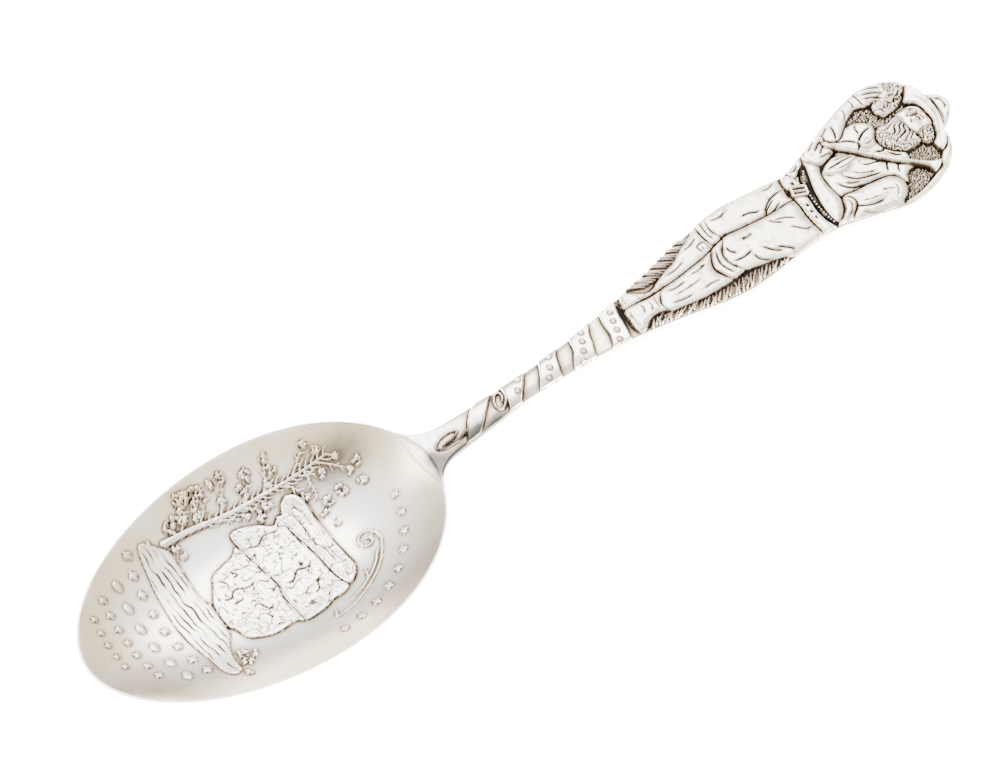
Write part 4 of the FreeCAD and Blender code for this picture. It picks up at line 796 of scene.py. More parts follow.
        (40.1, 1.9)]), (0.4, 0.22, [(40, 2.3), (38.2, 1.9), (36.6, 1.9), (34.5, 2.3), (32.6, 3.1)]),
        (0.14, 0.2, [(40, 3.1), (38.4, 3.8), (37.1, 3.9)]), (0.12, 0.14, [(39, 6), (36.8, 6.6),
        (34.2, 6.3)]), (0.13, 0.26, [(40.2, 2.5), (41, 3.1), (42.3, 3.8), (43.7, 4.1), (44.9, 4.1)]),
        (0.14, 0.2, [(45.1, 5.7), (43.5, 5.3), (42.3, 5.5)]), (0.14, 0.2, [(33, 5.8), (34.6, 5.5),
        (36.2, 5.8)])]),
}

for name, rise, points in FIGURE:
    spec = dict(DETAIL[name])
    radius = spec.pop("radius")
    spec["lines"] = settle_lines(spec.get("lines", []))
    spec["spots"] = settle(spec.get("spots", []))
    spec.setdefault("texture_ink", cloth_ink)
    if name != "belt_buckle":
        rise = RISE_SCALE * PROUD.get(name, 1.0) * rise
        outline_element(name, [name], HANDLE, settle(points), rise, radius, limit=PLATE_MARGIN, lift=0.3,
                        **spec)


def buckle_level(x, y):
    """Rounded frame with an open slot and a prong across it."""
    (cx, cy), = settle([(46.55, 2.5)])
    turn = math.radians(-25)
    u = (x - cx) * math.cos(turn) + (y - cy) * math.sin(turn)
    v = -(x - cx) * math.sin(turn) + (y - cy) * math.cos(turn)
    outer = np.maximum(np.abs(u) - 0.8, 0) ** 2.0 + np.maximum(np.abs(v) - 0.5, 0) ** 2.0
    ring = 0.2 - np.abs(np.sqrt(outer) - 0.25)
    ring = np.where((np.abs(u) < 0.78) & (np.abs(v) < 0.5), -0.3, ring)
    prong = 0.15 - np.hypot(np.maximum(np.abs(u) - 0.9, 0), v)
    return np.maximum(ring, prong)


element("belt_buckle", ["belt_buckle"], HANDLE, (44.6, 48.6, 0.4, 4.4), buckle_level,
        lambda x, y, level: 1.02 * (0.75 + 0.25 * dome(level, 0.18)))

shells = []
for k, (cx, cy) in enumerate(CARTRIDGES):
    nx, ny = CARTRIDGES[min(k + 1, len(CARTRIDGES) - 1)]
    shells.append((cx, cy, 0.22))
    shells.append((0.55 * cx + 0.45 * nx, 0.55 * cy + 0.45 * ny, 0.2))
spot_element("cartridges", ["cartridges"], HANDLE, settle(shells), 0.74)


def more_blades(blades, seed):
    """Each blade with two companions leaning either way."""
    rng = np.random.default_rng(seed)
    out = []
    for (ax, ay), (bx, by) in blades:
        for shift in (-0.55, 0.0, 0.55):
            j = rng.uniform(-0.15, 0.15, 4)
            out.append([(ax + shift + j[0], ay + j[1]),
                        (0.5 * (ax + bx) + shift + j[2], 0.55 * ay + 0.45 * by),
                        (bx + 1.4 * shift + j[3], by)])
    return out


LONGER = 1.6                   # the far side's blades reach the calf
far_blades = [(a, (a[0] + LONGER * (b[0] - a[0]), a[1] + LONGER * (b[1] - a[1]))) for a, b in GRASS_FAR]
for name, blades, seed in (("grass_far", far_blades, 5), ("grass_near", GRASS_NEAR, 6)):
    line_element(name, [name], HANDLE, more_blades(blades, seed), 0.3, 0.1, 0.5, limit=PLATE_MARGIN)

RIBBON_RISE = 0.42
BAND_MARKS = {
    "ribbon_band_1": [(-4.5, 0.9), (-5.5, -0.4)],
    "ribbon_band_2": [(1, 1.1), (0.1, -0.2), (-0.9, -1.3)],
    "ribbon_band_3": [(6.9, 1.5), (6.1, 0.3), (5.3, -0.9), (4.4, -2)],
    "ribbon_band_4": [(12.1, 1.7), (11.5, 0.4), (11, -1), (10.4, -2.3)],
}
for name, points in RIBBON:
    studs = BAND_MARKS.get(name, [])
    marks = [(cx, cy, 0.3, 0.3, 0.26) for cx, cy in studs]

    def stud_ink(x, y, studs=studs):
        return sum(0.55 * np.exp(-((np.hypot(x - cx, y - cy) - 0.42) / 0.12) ** 2) for cx, cy in studs)

    outline_element(name, [name], HANDLE, points, RIBBON_RISE, 0.3, spots=marks, limit=RIBBON_MARGIN,
                    slot="polished_silver", texture=lambda x, y: 0.02 * wobble(x, y, 3.0, 61),
                    texture_ink=stud_ink)

RIBBON_END = [(-8, 2.3), (-9.6, 2.4), (-11.4, 1.75), (-12.4, 1.2), (-13.4, 0.3), (-14.3, -0.7),
    (-15.2, -1.9), (-16.2, -2.8), (-14.6, -2.9), (-13, -2), (-11.6, -1), (-10.3, 0.1), (-9.4, 0.9)]
LEAF_LOOP = [(-14.4, -0.8), (-15.9, -1.25), (-17.1, -1.3), (-18.4, -1.25), (-19.3, -0.6), (-18.2, 0.25),
    (-16.8, 0.45), (-15.5, 0.05), (-16.1, -0.5), (-17.3, -0.75), (-18.3, -0.75)]
CURL_LOOP = [(-6.7, 1.5), (-7, 0.5), (-7.6, -0.5), (-8.6, -1.1), (-9.2, -0.6), (-8.9, 0.4), (-8.2, 1.1),
    (-7.6, 1.2), (-7.5, 0.5), (-8, -0.2)]


def tail_level(x, y):
    """The ribbon's broad end, with a thin loop like a leaf running on from it."""
    cord, _ = line_distance(x, y, smooth_line(LEAF_LOOP, step=0.15))
    return np.maximum(loop_level(x, y, smooth_line(RIBBON_END, closed=True)), 0.17 - cord)


element("ribbon_tail", ["ribbon_tail"], HANDLE, (-19.8, -7.6, -3.2, 2.8), tail_level,
        lambda x, y, level: 0.4 * dome(level, 0.25), limit=RIBBON_MARGIN, slot="polished_silver")
line_element("ribbon_curl", ["ribbon_curl"], HANDLE, [CURL_LOOP], 0.4, 0.26, RIBBON_RISE,
             limit=RIBBON_MARGIN, slot="polished_silver")

STIPPLE = 0.28                 # spacing of the dots beside the head
STIPPLE_MARGIN = 0.8           # the dots keep this far from the plate's edge
BARE = HANDLE.height < 0.01    # plate with no relief on it


def ground_dots(seed):
    """Scattered dots on the bare plate beside the head."""
    rng = np.random.default_rng(seed)
    dots = []
    for cx in np.arange(56.5, 69.5, STIPPLE):
        for cy in np.arange(-9.5, 9.5, STIPPLE):
            px, py = cx + rng.uniform(-0.1, 0.1), cy + rng.uniform(-0.1, 0.1)
            i, j = int((px - HANDLE.xs[0]) / HANDLE.cell), int((py - HANDLE.ys[0]) / HANDLE.cell)
            lo = float(near_y(np.array(px))) + STIPPLE_MARGIN
            hi = float(far_y(np.array(px))) - STIPPLE_MARGIN
            if BARE[i - 2:i + 4, j - 2:j + 4].all() and lo < py < hi:
                dots.append((px, py, rng.uniform(0.09, 0.13)))
    return dots


spot_element("ground_stipple", ["handle_plate"], HANDLE, ground_dots(17), 0.11, stain=0.16)

# ------------------------------------------------------------------ the scene in the bowl
SCENE_DETAIL = {
    "balanced_rock": [
        (0.1, 0.12, [(-38.9, 6.6), (-38.1, 4.1), (-38.4, 1.2), (-37.9, -1.4), (-38.3, -4.2)]),
        (0.08, 0.08, [(-37.5, 7), (-37.1, 4.4), (-37.3, 2.4)]),
        (0.08, 0.09, [(-37.2, 0.6), (-37.5, -2.2), (-37, -4.8)]),
        (0.07, 0.07, [(-38.6, 2.6), (-38.9, 0.2), (-38.7, -1.8)]),
        (0.07, 0.07, [(-36.7, 3.9), (-36.6, 1.2), (-36.8, -1)])],
    "rock_block": [(0.1, 0.14, [(-40.3, 5.9), (-41.2, 5.2), (-43, 5.6), (-44.4, 5), (-45.9, 5.4)]),
        (0.12, 0.15, [(-40, -0.6), (-41.3, -1.4), (-42.6, -0.9), (-44.1, -1.9), (-45.4, -1.2)]),
        (0.09, 0.12, [(-40.3, -3.3), (-41.6, -3.9), (-42.2, -5.1), (-43.4, -5)])],
    "rock_foot": [(0.1, 0.13, [(-53.2, 1.4), (-51.9, 0.8), (-50.7, 1.6), (-49.1, 0.9), (-47.2, 1.3)]),
        (0.09, 0.12, [(-50.9, -2.4), (-49.6, -1.8), (-48.9, -3.3), (-47.6, -3)]),
        (0.09, 0.12, [(-51.8, 3.9), (-51, 2.9), (-51.2, 2)])],
}
for name, rise, points in SCENE:
    texture, texture_ink = (strata, strata_ink) if name == "ground_ridge" else (stone, stone_ink)
    outline_element(name, [name], BOWL, points, rise, 0.6, lines=SCENE_DETAIL.get(name, ()), lift=0.35,
                    texture=texture, texture_ink=texture_ink)
line_element("tree_trunk", ["tree_trunk"], BOWL, [TRUNK_LINE], 0.85, 0.3, 0.32,
             texture=lambda x, y: 0.05 * np.sin(2 * math.pi * (y + 0.1 * np.sin(x)) / 0.4))


def twigs(branches, seed):
    """Feathery side shoots along each branch."""
    rng = np.random.default_rng(seed)
    out = []
    for line in branches:
        (ax, ay), (bx, by) = line[0], line[-1]
        out.append([(ax, ay), (0.5 * (ax + bx) + 0.12, 0.5 * (ay + by)), (bx, by)])
        size = math.hypot(bx - ax, by - ay)
        ux, uy = (bx - ax) / size, (by - ay) / size
        for k in range(3):
            t = 0.4 + 0.22 * k
            side = 1 if k % 2 else -1
            reach = rng.uniform(0.6, 1.0)
            out.append([(ax + ux * size * t, ay + uy * size * t),
                        (ax + ux * (size * t + 0.6 * reach) - side * uy * 0.7 * reach,
                         ay + uy * (size * t + 0.6 * reach) + side * ux * 0.7 * reach)])
    return out


NEEDLE_SPACING = 0.45
BARE_TRUNK = 14                # needles start after this many places along the trunk


def needles(line, seed):
    """Short curved shoots on both sides of the trunk."""
    rng = np.random.default_rng(seed)
    out = []
    for k, (cx, cy) in enumerate(smooth_line(line, step=NEEDLE_SPACING)[BARE_TRUNK:]):
        side = 1 if k % 2 else -1
        reach = rng.uniform(0.7, 1.4)
        out.append([(cx, cy), (cx + 0.5 * reach, cy + 0.55 * side * reach),
                    (cx + 1.1 * reach, cy + 0.8 * side * reach)])
    return out


line_element("tree_branches", ["tree_branches"], BOWL, twigs(BRANCHES, 9) + needles(TRUNK_LINE, 23),
             0.28, 0.12, 0.22)


def clusters(spots, seed):
    """Each clump as several small overlapping leaves."""
    rng = np.random.default_rng(seed)
    out = []
    for cx, cy, radius in spots:
        for _ in range(4 + int(14 * radius * radius)):
            turn, reach = rng.uniform(0, 2 * math.pi), radius * math.sqrt(rng.uniform(0.02, 1.0))
            out.append((cx + reach * math.cos(turn), cy + reach * math.sin(turn), rng.uniform(0.17, 0.3)))
    return out


for name, clumps, seed, rise in (("tree_foliage", FOLIAGE, 31, 0.3), ("shrubs", SHRUBS, 32, 0.28)):
    spot_element(name, [name], BOWL, clusters(clumps, seed), rise, lobes=3, texture=leaves)
line_element("scroll", ["scroll"], BOWL, SCROLL_LINES + SCROLL_TWIGS, 0.34, 0.2, 0.24)
for name, radius, spots in ORNAMENT_ROWS:
    growth, lobes, stretch = (0.9, 0, 1.5) if name == "border_lozenges" else (1.2, 4, 1.0)
    grown = [(x, y, growth * radius) for x, y in spots]
    spot_element(name, [name], BOWL, grown, 0.26, lobes=lobes, stretch=stretch)


# ------------------------------------------------------------------ tarnish and painted shade from the relief
def blurred(data, sigma):
    """Gaussian blur; sigma is in cells."""
    n = int(3 * sigma) + 1
    k = np.exp(-0.5 * (np.arange(-n, n + 1) / sigma) ** 2)
    k /= k.sum()
    out = np.apply_along_axis(lambda v: np.convolve(v, k, mode="same"), 0, data)
    return np.apply_along_axis(lambda v: np.convolve(v, k, mode="same"), 1, out)


def patina_and_shade(sheet, fine, broad, fine_gain, broad_gain):
    """Darken what lies lower than its surroundings, over a narrow, a broad and a soft reach: the narrow reach
    is patina in the hollows, the broad and soft reaches are painted shade round raised forms.
    """
    h = sheet.height
    small = blurred(h, fine / sheet.cell) - h
    large = blurred(h, broad / sheet.cell) - h
    soft = blurred(h, 2.5 * broad / sheet.cell) - h
    sheet.dark = np.clip(fine_gain * small + broad_gain * large + 0.55 * soft, 0, 1)


patina_and_shade(HANDLE, 0.15, 0.8, 6.5, 2.4)
patina_and_shade(BOWL, 0.16, 0.5, 9.0, 2.6)

GROUND_START_X, HEAD_GROUND_X = 14, 56
# painted shadow: dark lines where a proud element meets lower ground
CONTACT_SHADOW = {"pick_shaft": 1, "lower_hand": 0.5, "forearm": 0.5, "neckerchief_tail": 0.5,
    "neckerchief_knot": 0.5, "beard": 0.6, "hat_brim": 0.45, "ore_nugget": 0.6, "raised_hand": 0.45,
    "rolled_cuff": 0.4, "belt": 0.4, "belt_buckle": 0.35, "belt_tongue": 0.4, "near_knee_cuff": 0.3,
    "far_knee_cuff": 0.3, "hair": 0.5, "pick_head": 0.35, "upper_sleeve": 0.3, "shirt_collar": 0.25,
    "near_thigh": 0.25, "near_calf": 0.25}


# painted shadow: a dark ring on the lower ground just outside a proud element's outline
def contact_shadow(piece, strength):
    i0, i1, j0, j1 = piece["window"]
    dark = piece["sheet"].dark[i0:i1, j0:j1]
    lower = piece["sheet"].height[i0:i1, j0:j1] < piece["height"].max() + 0.1
    ring = strength * np.exp(-((piece["level"] + 0.1) / 0.17) ** 2) * lower
    patchy = np.clip(0.8 + 0.4 * wobble(piece["x"], piece["y"], 2.0, 85), 0.3, 1.2)
    np.maximum(dark, ring * patchy, out=dark)


def darken_ground():
    """Blacken the bare plate round the figure, fully beside the head, and leave the dots bright."""
    x, y = np.meshgrid(HANDLE.xs, HANDLE.ys, indexing="ij")
    inner = np.clip((edge_distance(x, y) - 0.4) / 2.4, 0, 1)
    depth = np.where(x > HEAD_GROUND_X, 1.0, 0.1 + 0.62 * inner)
    ground = blurred((BARE & (x > GROUND_START_X)).astype(float), 1.2)
    dots = np.clip(HANDLE.height / 0.1, 0, 1) * BARE
    HANDLE.dark = np.maximum(HANDLE.dark, depth * ground) * (1 - dots)


for piece in PIECES:
    if piece["name"] in CONTACT_SHADOW:
        contact_shadow(piece, CONTACT_SHADOW[piece["name"]])
darken_ground()


def tint_and_reflection_level(verts):
    """Tan tone round the bowl's border, strongest at the tip and the far side, is painted reflection; over
    the handle it is a warm tint of the silver.
    """
    x, y = verts[:, 0], verts[:, 1]
    level = egg_level(x, y)
    band = np.clip((level - 0.3) / 0.5, 0, 1)
    side = 0.3 + 0.5 * np.clip((y + 6) / 14, 0, 1) + 0.35 * np.clip((-58 - x) / 10, 0, 1)
    side = (side + 0.4 * np.clip((x + 36) / 8, 0, 1)) * np.clip((1.02 - level) / 0.1, 0.35, 1)
    patchy = 1 + 0.25 * wobble(x, y, 7.0, 71)
    fade = np.clip((-17 - x) / 6, 0, 1) ** 2
    handle = 0.38 + 0.14 * wobble(x, y, 6.0, 72)
    return fade * np.clip(1.15 * band * side * patchy, 0, 1) + (1 - fade) * handle


def shade_level(verts):
    """Painted dark reflection: grey on the near side of the neck."""
    x, y = verts[:, 0], verts[:, 1]
    along = np.clip((x + 22.3) / 1.6, 0, 1) * np.clip((-3.5 - x) / 6, 0, 1)
    across = np.clip((0.1 - y - 0.05 * (x + 14)) / 1.7, 0, 1)
    base = 0.3 * np.clip((x + 22) / 2, 0, 1) * np.clip((-9 - x) / 6, 0, 1)
    return np.clip(0.93 * along * across ** 0.7 + base * (0.8 + 0.4 * wobble(x, y, 2.0, 75)), 0, 0.95)


# ------------------------------------------------------------------ meshes
def build(name, verts, quads, dark, slot_name, nodes):
    mesh = bpy.data.meshes.new(name)
    mesh.vertices.add(len(verts))
    mesh.vertices.foreach_set("co", (np.asarray(verts) * MM).astype(np.float32).ravel())
    loops = np.asarray(quads, np.int32)
    mesh.loops.add(loops.size)
    mesh.loops.foreach_set("vertex_index", loops.ravel())
    mesh.polygons.add(len(loops))
    mesh.polygons.foreach_set("loop_start", np.arange(0, loops.size, 4, dtype=np.int32))
    mesh.polygons.foreach_set("loop_total", np.full(len(loops), 4, np.int32))
    mesh.polygons.foreach_set("use_smooth", np.ones(len(loops), bool))
    mesh.update(calc_edges=True)
    mesh.validate()
    # attributes: patina with painted shade, a warm tint with painted reflection, and a painted dark
    # reflection
    for key, values in (("patina_and_shade", dark), ("tint_and_reflection", tint_and_reflection_level(np.asarray(verts))),
                        ("shade", shade_level(np.asarray(verts)))):
        attribute = mesh.attributes.new(key, "FLOAT", "POINT")
        attribute.data.foreach_set("value", np.asarray(values, np.float32))
    obj = bpy.data.objects.new(name, mesh)
    bpy.context.scene.collection.objects.link(obj)
    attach(obj, "root")
    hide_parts(*nodes)
    obj.data.materials.append(MATERIALS[slot_name])
    return obj


def sheet_mesh(piece):
    """Closed mesh of one element, its edge pulled onto its outline."""
    x, y, level, height = (piece[k].copy() for k in ("x", "y", "level", "height"))
    sheet = piece["sheet"]
    keep = (level[:-1, :-1] > 0) | (level[1:, :-1] > 0) | (level[:-1, 1:] > 0) | (level[1:, 1:] > 0)
    slope_x, slope_y = np.gradient(level, sheet.cell)
    size = np.maximum(slope_x * slope_x + slope_y * slope_y, 0.25)
    outside = level <= 0
    move = np.clip(-level / size, 0, 1.5 * sheet.cell)
    x = np.where(outside, x + slope_x * move, x)
    y = np.where(outside, y + slope_y * move, y)
    used = np.zeros(level.shape, bool)
    for a in (slice(None, -1), slice(1, None)):
        for b in (slice(None, -1), slice(1, None)):
            used[a, b] |= keep
    index = np.full(level.shape, -1)
    index[used] = np.arange(used.sum())
    count = int(used.sum())
    ux, uy = x[used], y[used]
    base = face_z(ux, uy)
    top = np.column_stack([ux, uy, base + height[used]])
    low = np.column_stack([ux, uy, base - SINK])
    i, j = np.nonzero(keep)
    a, b, c, d = index[i, j], index[i + 1, j], index[i + 1, j + 1], index[i, j + 1]
    upper = np.column_stack([a, b, c, d])
    lower = np.column_stack([d, c, b, a]) + count
    walls = []
    pad = np.pad(keep, 1)
    for (di, dj), (p, q) in {(0, -1): (a, b), (1, 0): (b, c), (0, 1): (c, d), (-1, 0): (d, a)}.items():
        open_side = ~pad[i + 1 + di, j + 1 + dj]
        p, q = p[open_side], q[open_side]
        walls.append(np.column_stack([q, p, p + count, q + count]))
    dark = np.clip(sheet.read(sheet.dark, ux, uy) + piece["ink"][used], 0, 1)
    return np.vstack([top, low]), np.vstack([upper, lower] + walls), np.concatenate([dark, np.zeros(count)])


def blank_mesh(x_stations, columns):
    """Closed slab between the spoon's face and back, with rounded edges."""
    t = np.sin(np.linspace(-math.pi / 2, math.pi / 2, columns))
    t = 0.55 * t + 0.45 * np.linspace(-1, 1, columns)
    x = np.repeat(x_stations[:, None], columns, axis=1)
    lo, hi = near_y(x_stations)[:, None], far_y(x_stations)[:, None]
    y = 0.5 * (lo + hi) + 0.5 * (hi - lo) * t[None, :]
    d = edge_distance(x, y)
    d[:, 0] = 0
    d[:, -1] = 0
    fall = 1 - np.clip(d / EDGE_ROUND, 0, 1)
    drop = EDGE_ROUND * (1 - np.sqrt(np.clip(1 - fall * fall, 0, 1)))
    top = face_z(x, y) - drop
    low = back_z(x, y) + drop
    low = np.minimum(low, top - 0.05)
    n = x.size
    verts = np.vstack([np.column_stack([x.ravel(), y.ravel(), top.ravel()]),
                       np.column_stack([x.ravel(), y.ravel(), low.ravel()])])
    idx = np.arange(n).reshape(x.shape)
    a, b, c, e = idx[:-1, :-1], idx[1:, :-1], idx[1:, 1:], idx[:-1, 1:]
    quads = [np.column_stack([a.ravel(), b.ravel(), c.ravel(), e.ravel()]),
             np.column_stack([e.ravel(), c.ravel(), b.ravel(), a.ravel()]) + n]

    def wall(p):
        return np.column_stack([p[1:], p[:-1], p[:-1] + n, p[1:] + n])

    quads += [wall(idx[:, 0]), wall(idx[::-1, -1]), wall(idx[0, ::-1]), wall(idx[-1, :])]
    dark = np.where(x > -20.5, HANDLE.read(HANDLE.dark, x, y), BOWL.read(BOWL.dark, x, y)).ravel()
    edge_clear = np.clip(d.ravel() / 0.35, 0, 1)
    # painted shade: a grey band on the back near the edge, under the rim
    underside_shade = 0.2 * np.clip(1 - d.ravel() / 1.2, 0, 1)
    return verts, np.vstack(quads), np.concatenate([dark * edge_clear, underside_shade])


# ------------------------------------------------------------------ materials
BRIGHT = (0.96, 0.95, 0.93)
STRUCK = (0.95, 0.935, 0.91)
WARMTH = (0.97, 0.94, 0.88)    # the warmer of silver's two tones, against the brighter
# tan of the warm tint and of the painted reflection round the bowl's border
TINT_AND_REFLECTION_TAN = (0.74, 0.61, 0.42)
# dark grey of the painted reflection on the neck
DARK_REFLECTION_GREY = (0.035, 0.034, 0.032)
# tan tone of patina and painted shade
TAN_PATINA_SHADE = (0.42, 0.31, 0.21)
BROWN = (0.008, 0.006, 0.0045)
TAN_PATINA_SHADE_RANGE = (0.04, 0.42)      # tarnish and painted shade at which the tan tone starts and is full
BROWN_RANGE = (0.25, 0.85)     # the same for the dark brown
ROUGH_DARK = 0.5               # roughness of full tarnish and painted shade
SCRATCH_DEPTH, SPECK_DEPTH = 0.00002, 0.00008
PER_METRE = {"patch": 420.0, "tone": 60.0, "polish": 900.0, "scratch": 2600.0, "speck": 3300.0}


def add(tree, kind, **values):
    """New node; each value goes to the input of that name, or else to the node's own property."""
    node = tree.nodes.new(kind)
    for key, value in values.items():
        if key in node.inputs:
            node.inputs[key].default_value = value
        else:
            setattr(node, key, value)
    return node


def attribute(tree, name):
    return add(tree, "ShaderNodeAttribute", attribute_name=name).outputs["Fac"]


def noise(tree, place, **values):
    node = add(tree, "ShaderNodeTexNoise", **values)
    tree.links.new(place, node.inputs["Vector"])
    return node.outputs["Fac"]


def calculate(tree, operation, *inputs):
    """Math node; an input is a number or another node's output."""
    node = add(tree, "ShaderNodeMath", operation=operation)
    for socket, value in zip(node.inputs, inputs):
        if isinstance(value, float):
            socket.default_value = value
        else:
            tree.links.new(value, socket)
    return node.outputs[0]


def remap(tree, value, low, high, to_low=0.0, to_high=1.0, **settings):
    node = add(tree, "ShaderNodeMapRange", **settings)
    for key, number in (("From Min", low), ("From Max", high), ("To Min", to_low), ("To Max", to_high)):
        node.inputs[key].default_value = number
    tree.links.new(value, node.inputs["Value"])
    return node.outputs["Result"]


def mixed(tree, factor, first, second, kind="RGBA"):
    """Mix an output with a constant colour or number."""
    node = add(tree, "ShaderNodeMix", data_type=kind)
    tree.links.new(factor, node.inputs["Factor"])
    tree.links.new(first, node.inputs["A"])
    node.inputs["B"].default_value = (*second, 1) if kind == "RGBA" else second
    return node.outputs["Result"]


def silver_colour(tree, place, bright, patina_shade):
    """Base colour with the painted reflection mixed in, and how far the dark tarnish and painted shade have
    taken each place.
    """
    warm = add(tree, "ShaderNodeMix", data_type="RGBA")
    warm.inputs["A"].default_value = (*bright, 1)
    warm.inputs["B"].default_value = (*(b * w for b, w in zip(bright, WARMTH)), 1)
    tree.links.new(noise(tree, place, Scale=PER_METRE["tone"], Detail=3.0), warm.inputs["Factor"])
    colour = mixed(tree, attribute(tree, "tint_and_reflection"), warm.outputs["Result"], TINT_AND_REFLECTION_TAN)
    colour = mixed(tree, attribute(tree, "shade"), colour, DARK_REFLECTION_GREY)
    colour = mixed(tree, remap(tree, patina_shade, *TAN_PATINA_SHADE_RANGE), colour, TAN_PATINA_SHADE)
    ramp = add(tree, "ShaderNodeValToRGB")
    for stop, position in zip(ramp.color_ramp.elements, BROWN_RANGE):
        stop.position = position
    tree.links.new(patina_shade, ramp.inputs["Fac"])
    return mixed(tree, ramp.outputs["Color"], colour, BROWN), ramp.outputs["Color"]


def silver_bumps(tree, place, dark, scratch, stipple):
    """Fine polishing lines, and specks where the tarnish and painted shade are."""
    link = tree.links.new
    stretch = add(tree, "ShaderNodeMapping", Scale=(0.25, 3.0, 3.0), Rotation=(0.0, 0.0, 0.4))
    link(place, stretch.inputs["Vector"])
    lines = noise(tree, stretch.outputs["Vector"], Scale=PER_METRE["scratch"], Detail=3.0, Roughness=0.7)
    bump = add(tree, "ShaderNodeBump", Strength=scratch, Distance=SCRATCH_DEPTH)
    link(lines, bump.inputs["Height"])
    dots = add(tree, "ShaderNodeTexVoronoi", Scale=PER_METRE["speck"])
    link(place, dots.inputs["Vector"])
    dot_bump = add(tree, "ShaderNodeBump", Distance=SPECK_DEPTH)
    link(calculate(tree, "MULTIPLY", dark, stipple), dot_bump.inputs["Strength"])
    link(dots.outputs["Distance"], dot_bump.inputs["Height"])
    link(bump.outputs["Normal"], dot_bump.inputs["Normal"])
    return dot_bump.outputs["Normal"]


def silver(name, bright, rough, scratch, stipple):
    """Silver whose recesses carry brown tarnish, with painted shade and painted reflection, fine polishing
    lines and specks of wear.
    """
    mat = bpy.data.materials.new(name)
    mat.use_nodes = True
    tree = mat.node_tree
    shader = tree.nodes["Principled BSDF"]
    shader.inputs["Metallic"].default_value = 1.0
    place = add(tree, "ShaderNodeTexCoord").outputs["Object"]
    cavity = attribute(tree, "patina_and_shade")
    patch = noise(tree, place, Scale=PER_METRE["patch"], Detail=5.0, Roughness=0.62)
    uneven = calculate(tree, "MULTIPLY", calculate(tree, "MULTIPLY_ADD", patch, 0.5, -0.25), cavity)
    patina_shade = calculate(tree, "ADD", cavity, uneven)
    colour, dark = silver_colour(tree, place, bright, patina_shade)
    tree.links.new(colour, shader.inputs["Base Color"])
    haze = noise(tree, place, Scale=PER_METRE["polish"], Detail=4.0)
    polish = remap(tree, haze, 0.0, 1.0, rough * 0.75, rough * 1.3)
    tree.links.new(mixed(tree, dark, polish, ROUGH_DARK, "FLOAT"), shader.inputs["Roughness"])
    tree.links.new(silver_bumps(tree, place, dark, scratch, stipple), shader.inputs["Normal"])
    return mat


MATERIALS = {
    "polished_silver": silver("polished_silver", BRIGHT, rough=0.23, scratch=0.2, stipple=0.4),
    "struck_silver": silver("struck_silver", STRUCK, rough=0.36, scratch=0.25, stipple=0.3),
}

# ------------------------------------------------------------------ assemble
END_GAP = 0.02                 # the bowl's first station stands this far inside the tip
bowl_reach = NECK_START_X - TIP_X - END_GAP
bowl_x = TIP_X + END_GAP + bowl_reach * (1 - np.cos(np.linspace(0, math.pi / 2, 255)))
bowl_x = np.unique(np.round(bowl_x, 5))
bowl_x[-1] = NECK_START_X
plate_x = HANDLE_START_X + (END_X - 0.01 - HANDLE_START_X) * np.sin(np.linspace(0, math.pi / 2, 330))
for name, stations, columns in (
        ("bowl", bowl_x, 190),
        ("neck", np.linspace(NECK_START_X, STEM_START_X, 90), 60),
        ("stem", np.linspace(STEM_START_X, HANDLE_START_X, 170), 50),
        ("handle_plate", plate_x, 120)):
    verts, quads, dark = blank_mesh(stations, columns)
    build("skin_" + name, verts, quads, dark, "polished_silver", [name])
for piece in PIECES:
    verts, quads, dark = sheet_mesh(piece)
    build("relief_" + piece["name"], verts, quads, dark, piece["slot"], piece["nodes"])

# ------------------------------------------------------------------ floor, camera, light
FLOOR_SIZE = 1.2
PAPER = (0.93, 0.93, 0.93)
PAPER_ROUGHNESS, PAPER_GLOW = 0.9, 14.0
AZIMUTH, ELEVATION = math.radians(-39.44), math.radians(56.56)
DISTANCE = 0.5
TARGET = Vector((-0.00572, 0.00299, 0.0034))
LENS, SENSOR_WIDTH, CLIP_START = 136.75, 36.0, 0.01
LIGHT_DISTANCE = 0.9
SKY_LOW, SKY_HIGH, SKY_TOP = (0.16, 0.15, 0.14), (1.0, 1.0, 1.0), 0.75
SKY_STRENGTH = 3.0
DARK_PATCH = Vector((-0.25, -0.2, 0.945)).normalized()
PATCH_EDGE, PATCH_HEART, PATCH_LEVEL = math.radians(18), math.radians(6), 0.03


def floor_paper():
    """Paper that glows, brighter than the light falling on it, to come out as a pure white ground."""
    paper = bpy.data.materials.new("paper")
    paper.use_nodes = True
    sockets = paper.node_tree.nodes["Principled BSDF"].inputs
    sockets["Base Color"].default_value = (*PAPER, 1)
    sockets["Roughness"].default_value = PAPER_ROUGHNESS
    sockets["Emission Color"].default_value = (1.0, 1.0, 1.0, 1)
    sockets["Emission Strength"].default_value = PAPER_GLOW
    return paper


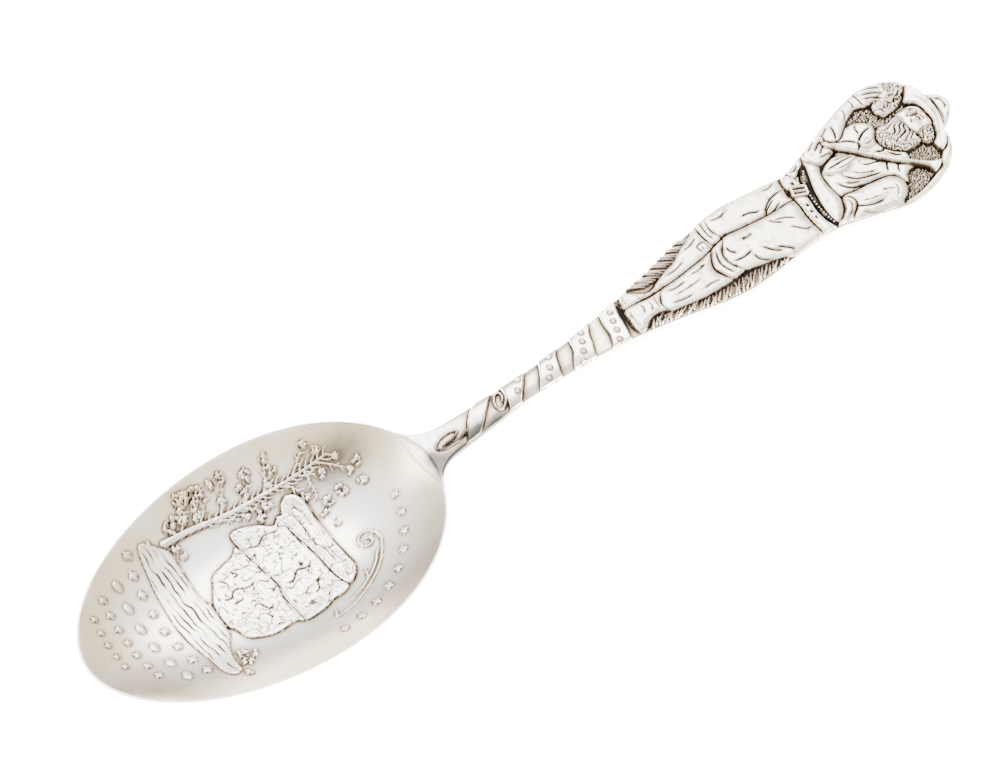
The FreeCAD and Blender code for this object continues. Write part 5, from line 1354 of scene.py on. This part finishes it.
def place_camera():
    """Long lens at the photo's angle."""
    back = Vector((math.sin(AZIMUTH) * math.cos(ELEVATION), -math.cos(AZIMUTH) * math.cos(ELEVATION),
                   math.sin(ELEVATION)))
    data = bpy.data.cameras.new("camera")
    data.sensor_fit = "HORIZONTAL"
    data.sensor_width = SENSOR_WIDTH
    data.lens = LENS
    data.clip_start = CLIP_START
    camera = bpy.data.objects.new("camera", data)
    bpy.context.scene.collection.objects.link(camera)
    camera.location = TARGET + DISTANCE * back
    camera.rotation_euler = back.to_track_quat("Z", "Y").to_euler()
    bpy.context.scene.camera = camera


def softbox(name, direction, size, power):
    data = bpy.data.lights.new(name, "AREA")
    data.shape = "DISK"
    data.size = size
    data.energy = power
    lamp = bpy.data.objects.new(name, data)
    bpy.context.scene.collection.objects.link(lamp)
    way = Vector(direction).normalized()
    lamp.location = way * LIGHT_DISTANCE
    lamp.rotation_euler = way.to_track_quat("Z", "Y").to_euler()


def studio():
    """Bright sky over a darker ground, with a dark patch that the silver shows where it faces that way."""
    world = bpy.data.worlds.new("studio")
    bpy.context.scene.world = world
    world.use_nodes = True
    tree = world.node_tree
    link = tree.links.new
    place = add(tree, "ShaderNodeTexCoord").outputs["Generated"]
    split = add(tree, "ShaderNodeSeparateXYZ")
    link(place, split.inputs["Vector"])
    ramp = add(tree, "ShaderNodeValToRGB")
    for stop, position, colour in zip(ramp.color_ramp.elements, (0.0, SKY_TOP), (SKY_LOW, SKY_HIGH)):
        stop.position = position
        stop.color = (*colour, 1)
    link(split.outputs["Z"], ramp.inputs["Fac"])
    toward = add(tree, "ShaderNodeVectorMath", operation="DOT_PRODUCT")
    toward.inputs[1].default_value = DARK_PATCH
    link(place, toward.inputs[0])
    level = remap(tree, toward.outputs["Value"], math.cos(PATCH_EDGE), math.cos(PATCH_HEART),
                  1.0, PATCH_LEVEL, interpolation_type="SMOOTHSTEP")
    shaded = add(tree, "ShaderNodeVectorMath", operation="SCALE")
    link(ramp.outputs["Color"], shaded.inputs[0])
    link(level, shaded.inputs["Scale"])
    background = tree.nodes["Background"]
    link(shaded.outputs["Vector"], background.inputs["Color"])
    background.inputs["Strength"].default_value = SKY_STRENGTH


bpy.ops.mesh.primitive_plane_add(size=FLOOR_SIZE, location=(0, 0, 0))
floor = bpy.context.object
floor.name = "floor"
floor.data.materials.append(floor_paper())
place_camera()
softbox("key", (0.356, 0.432, 0.829), size=0.8, power=13.0)
softbox("fill", (-0.9, 0.5, 0.7), size=0.6, power=8.0)
studio()
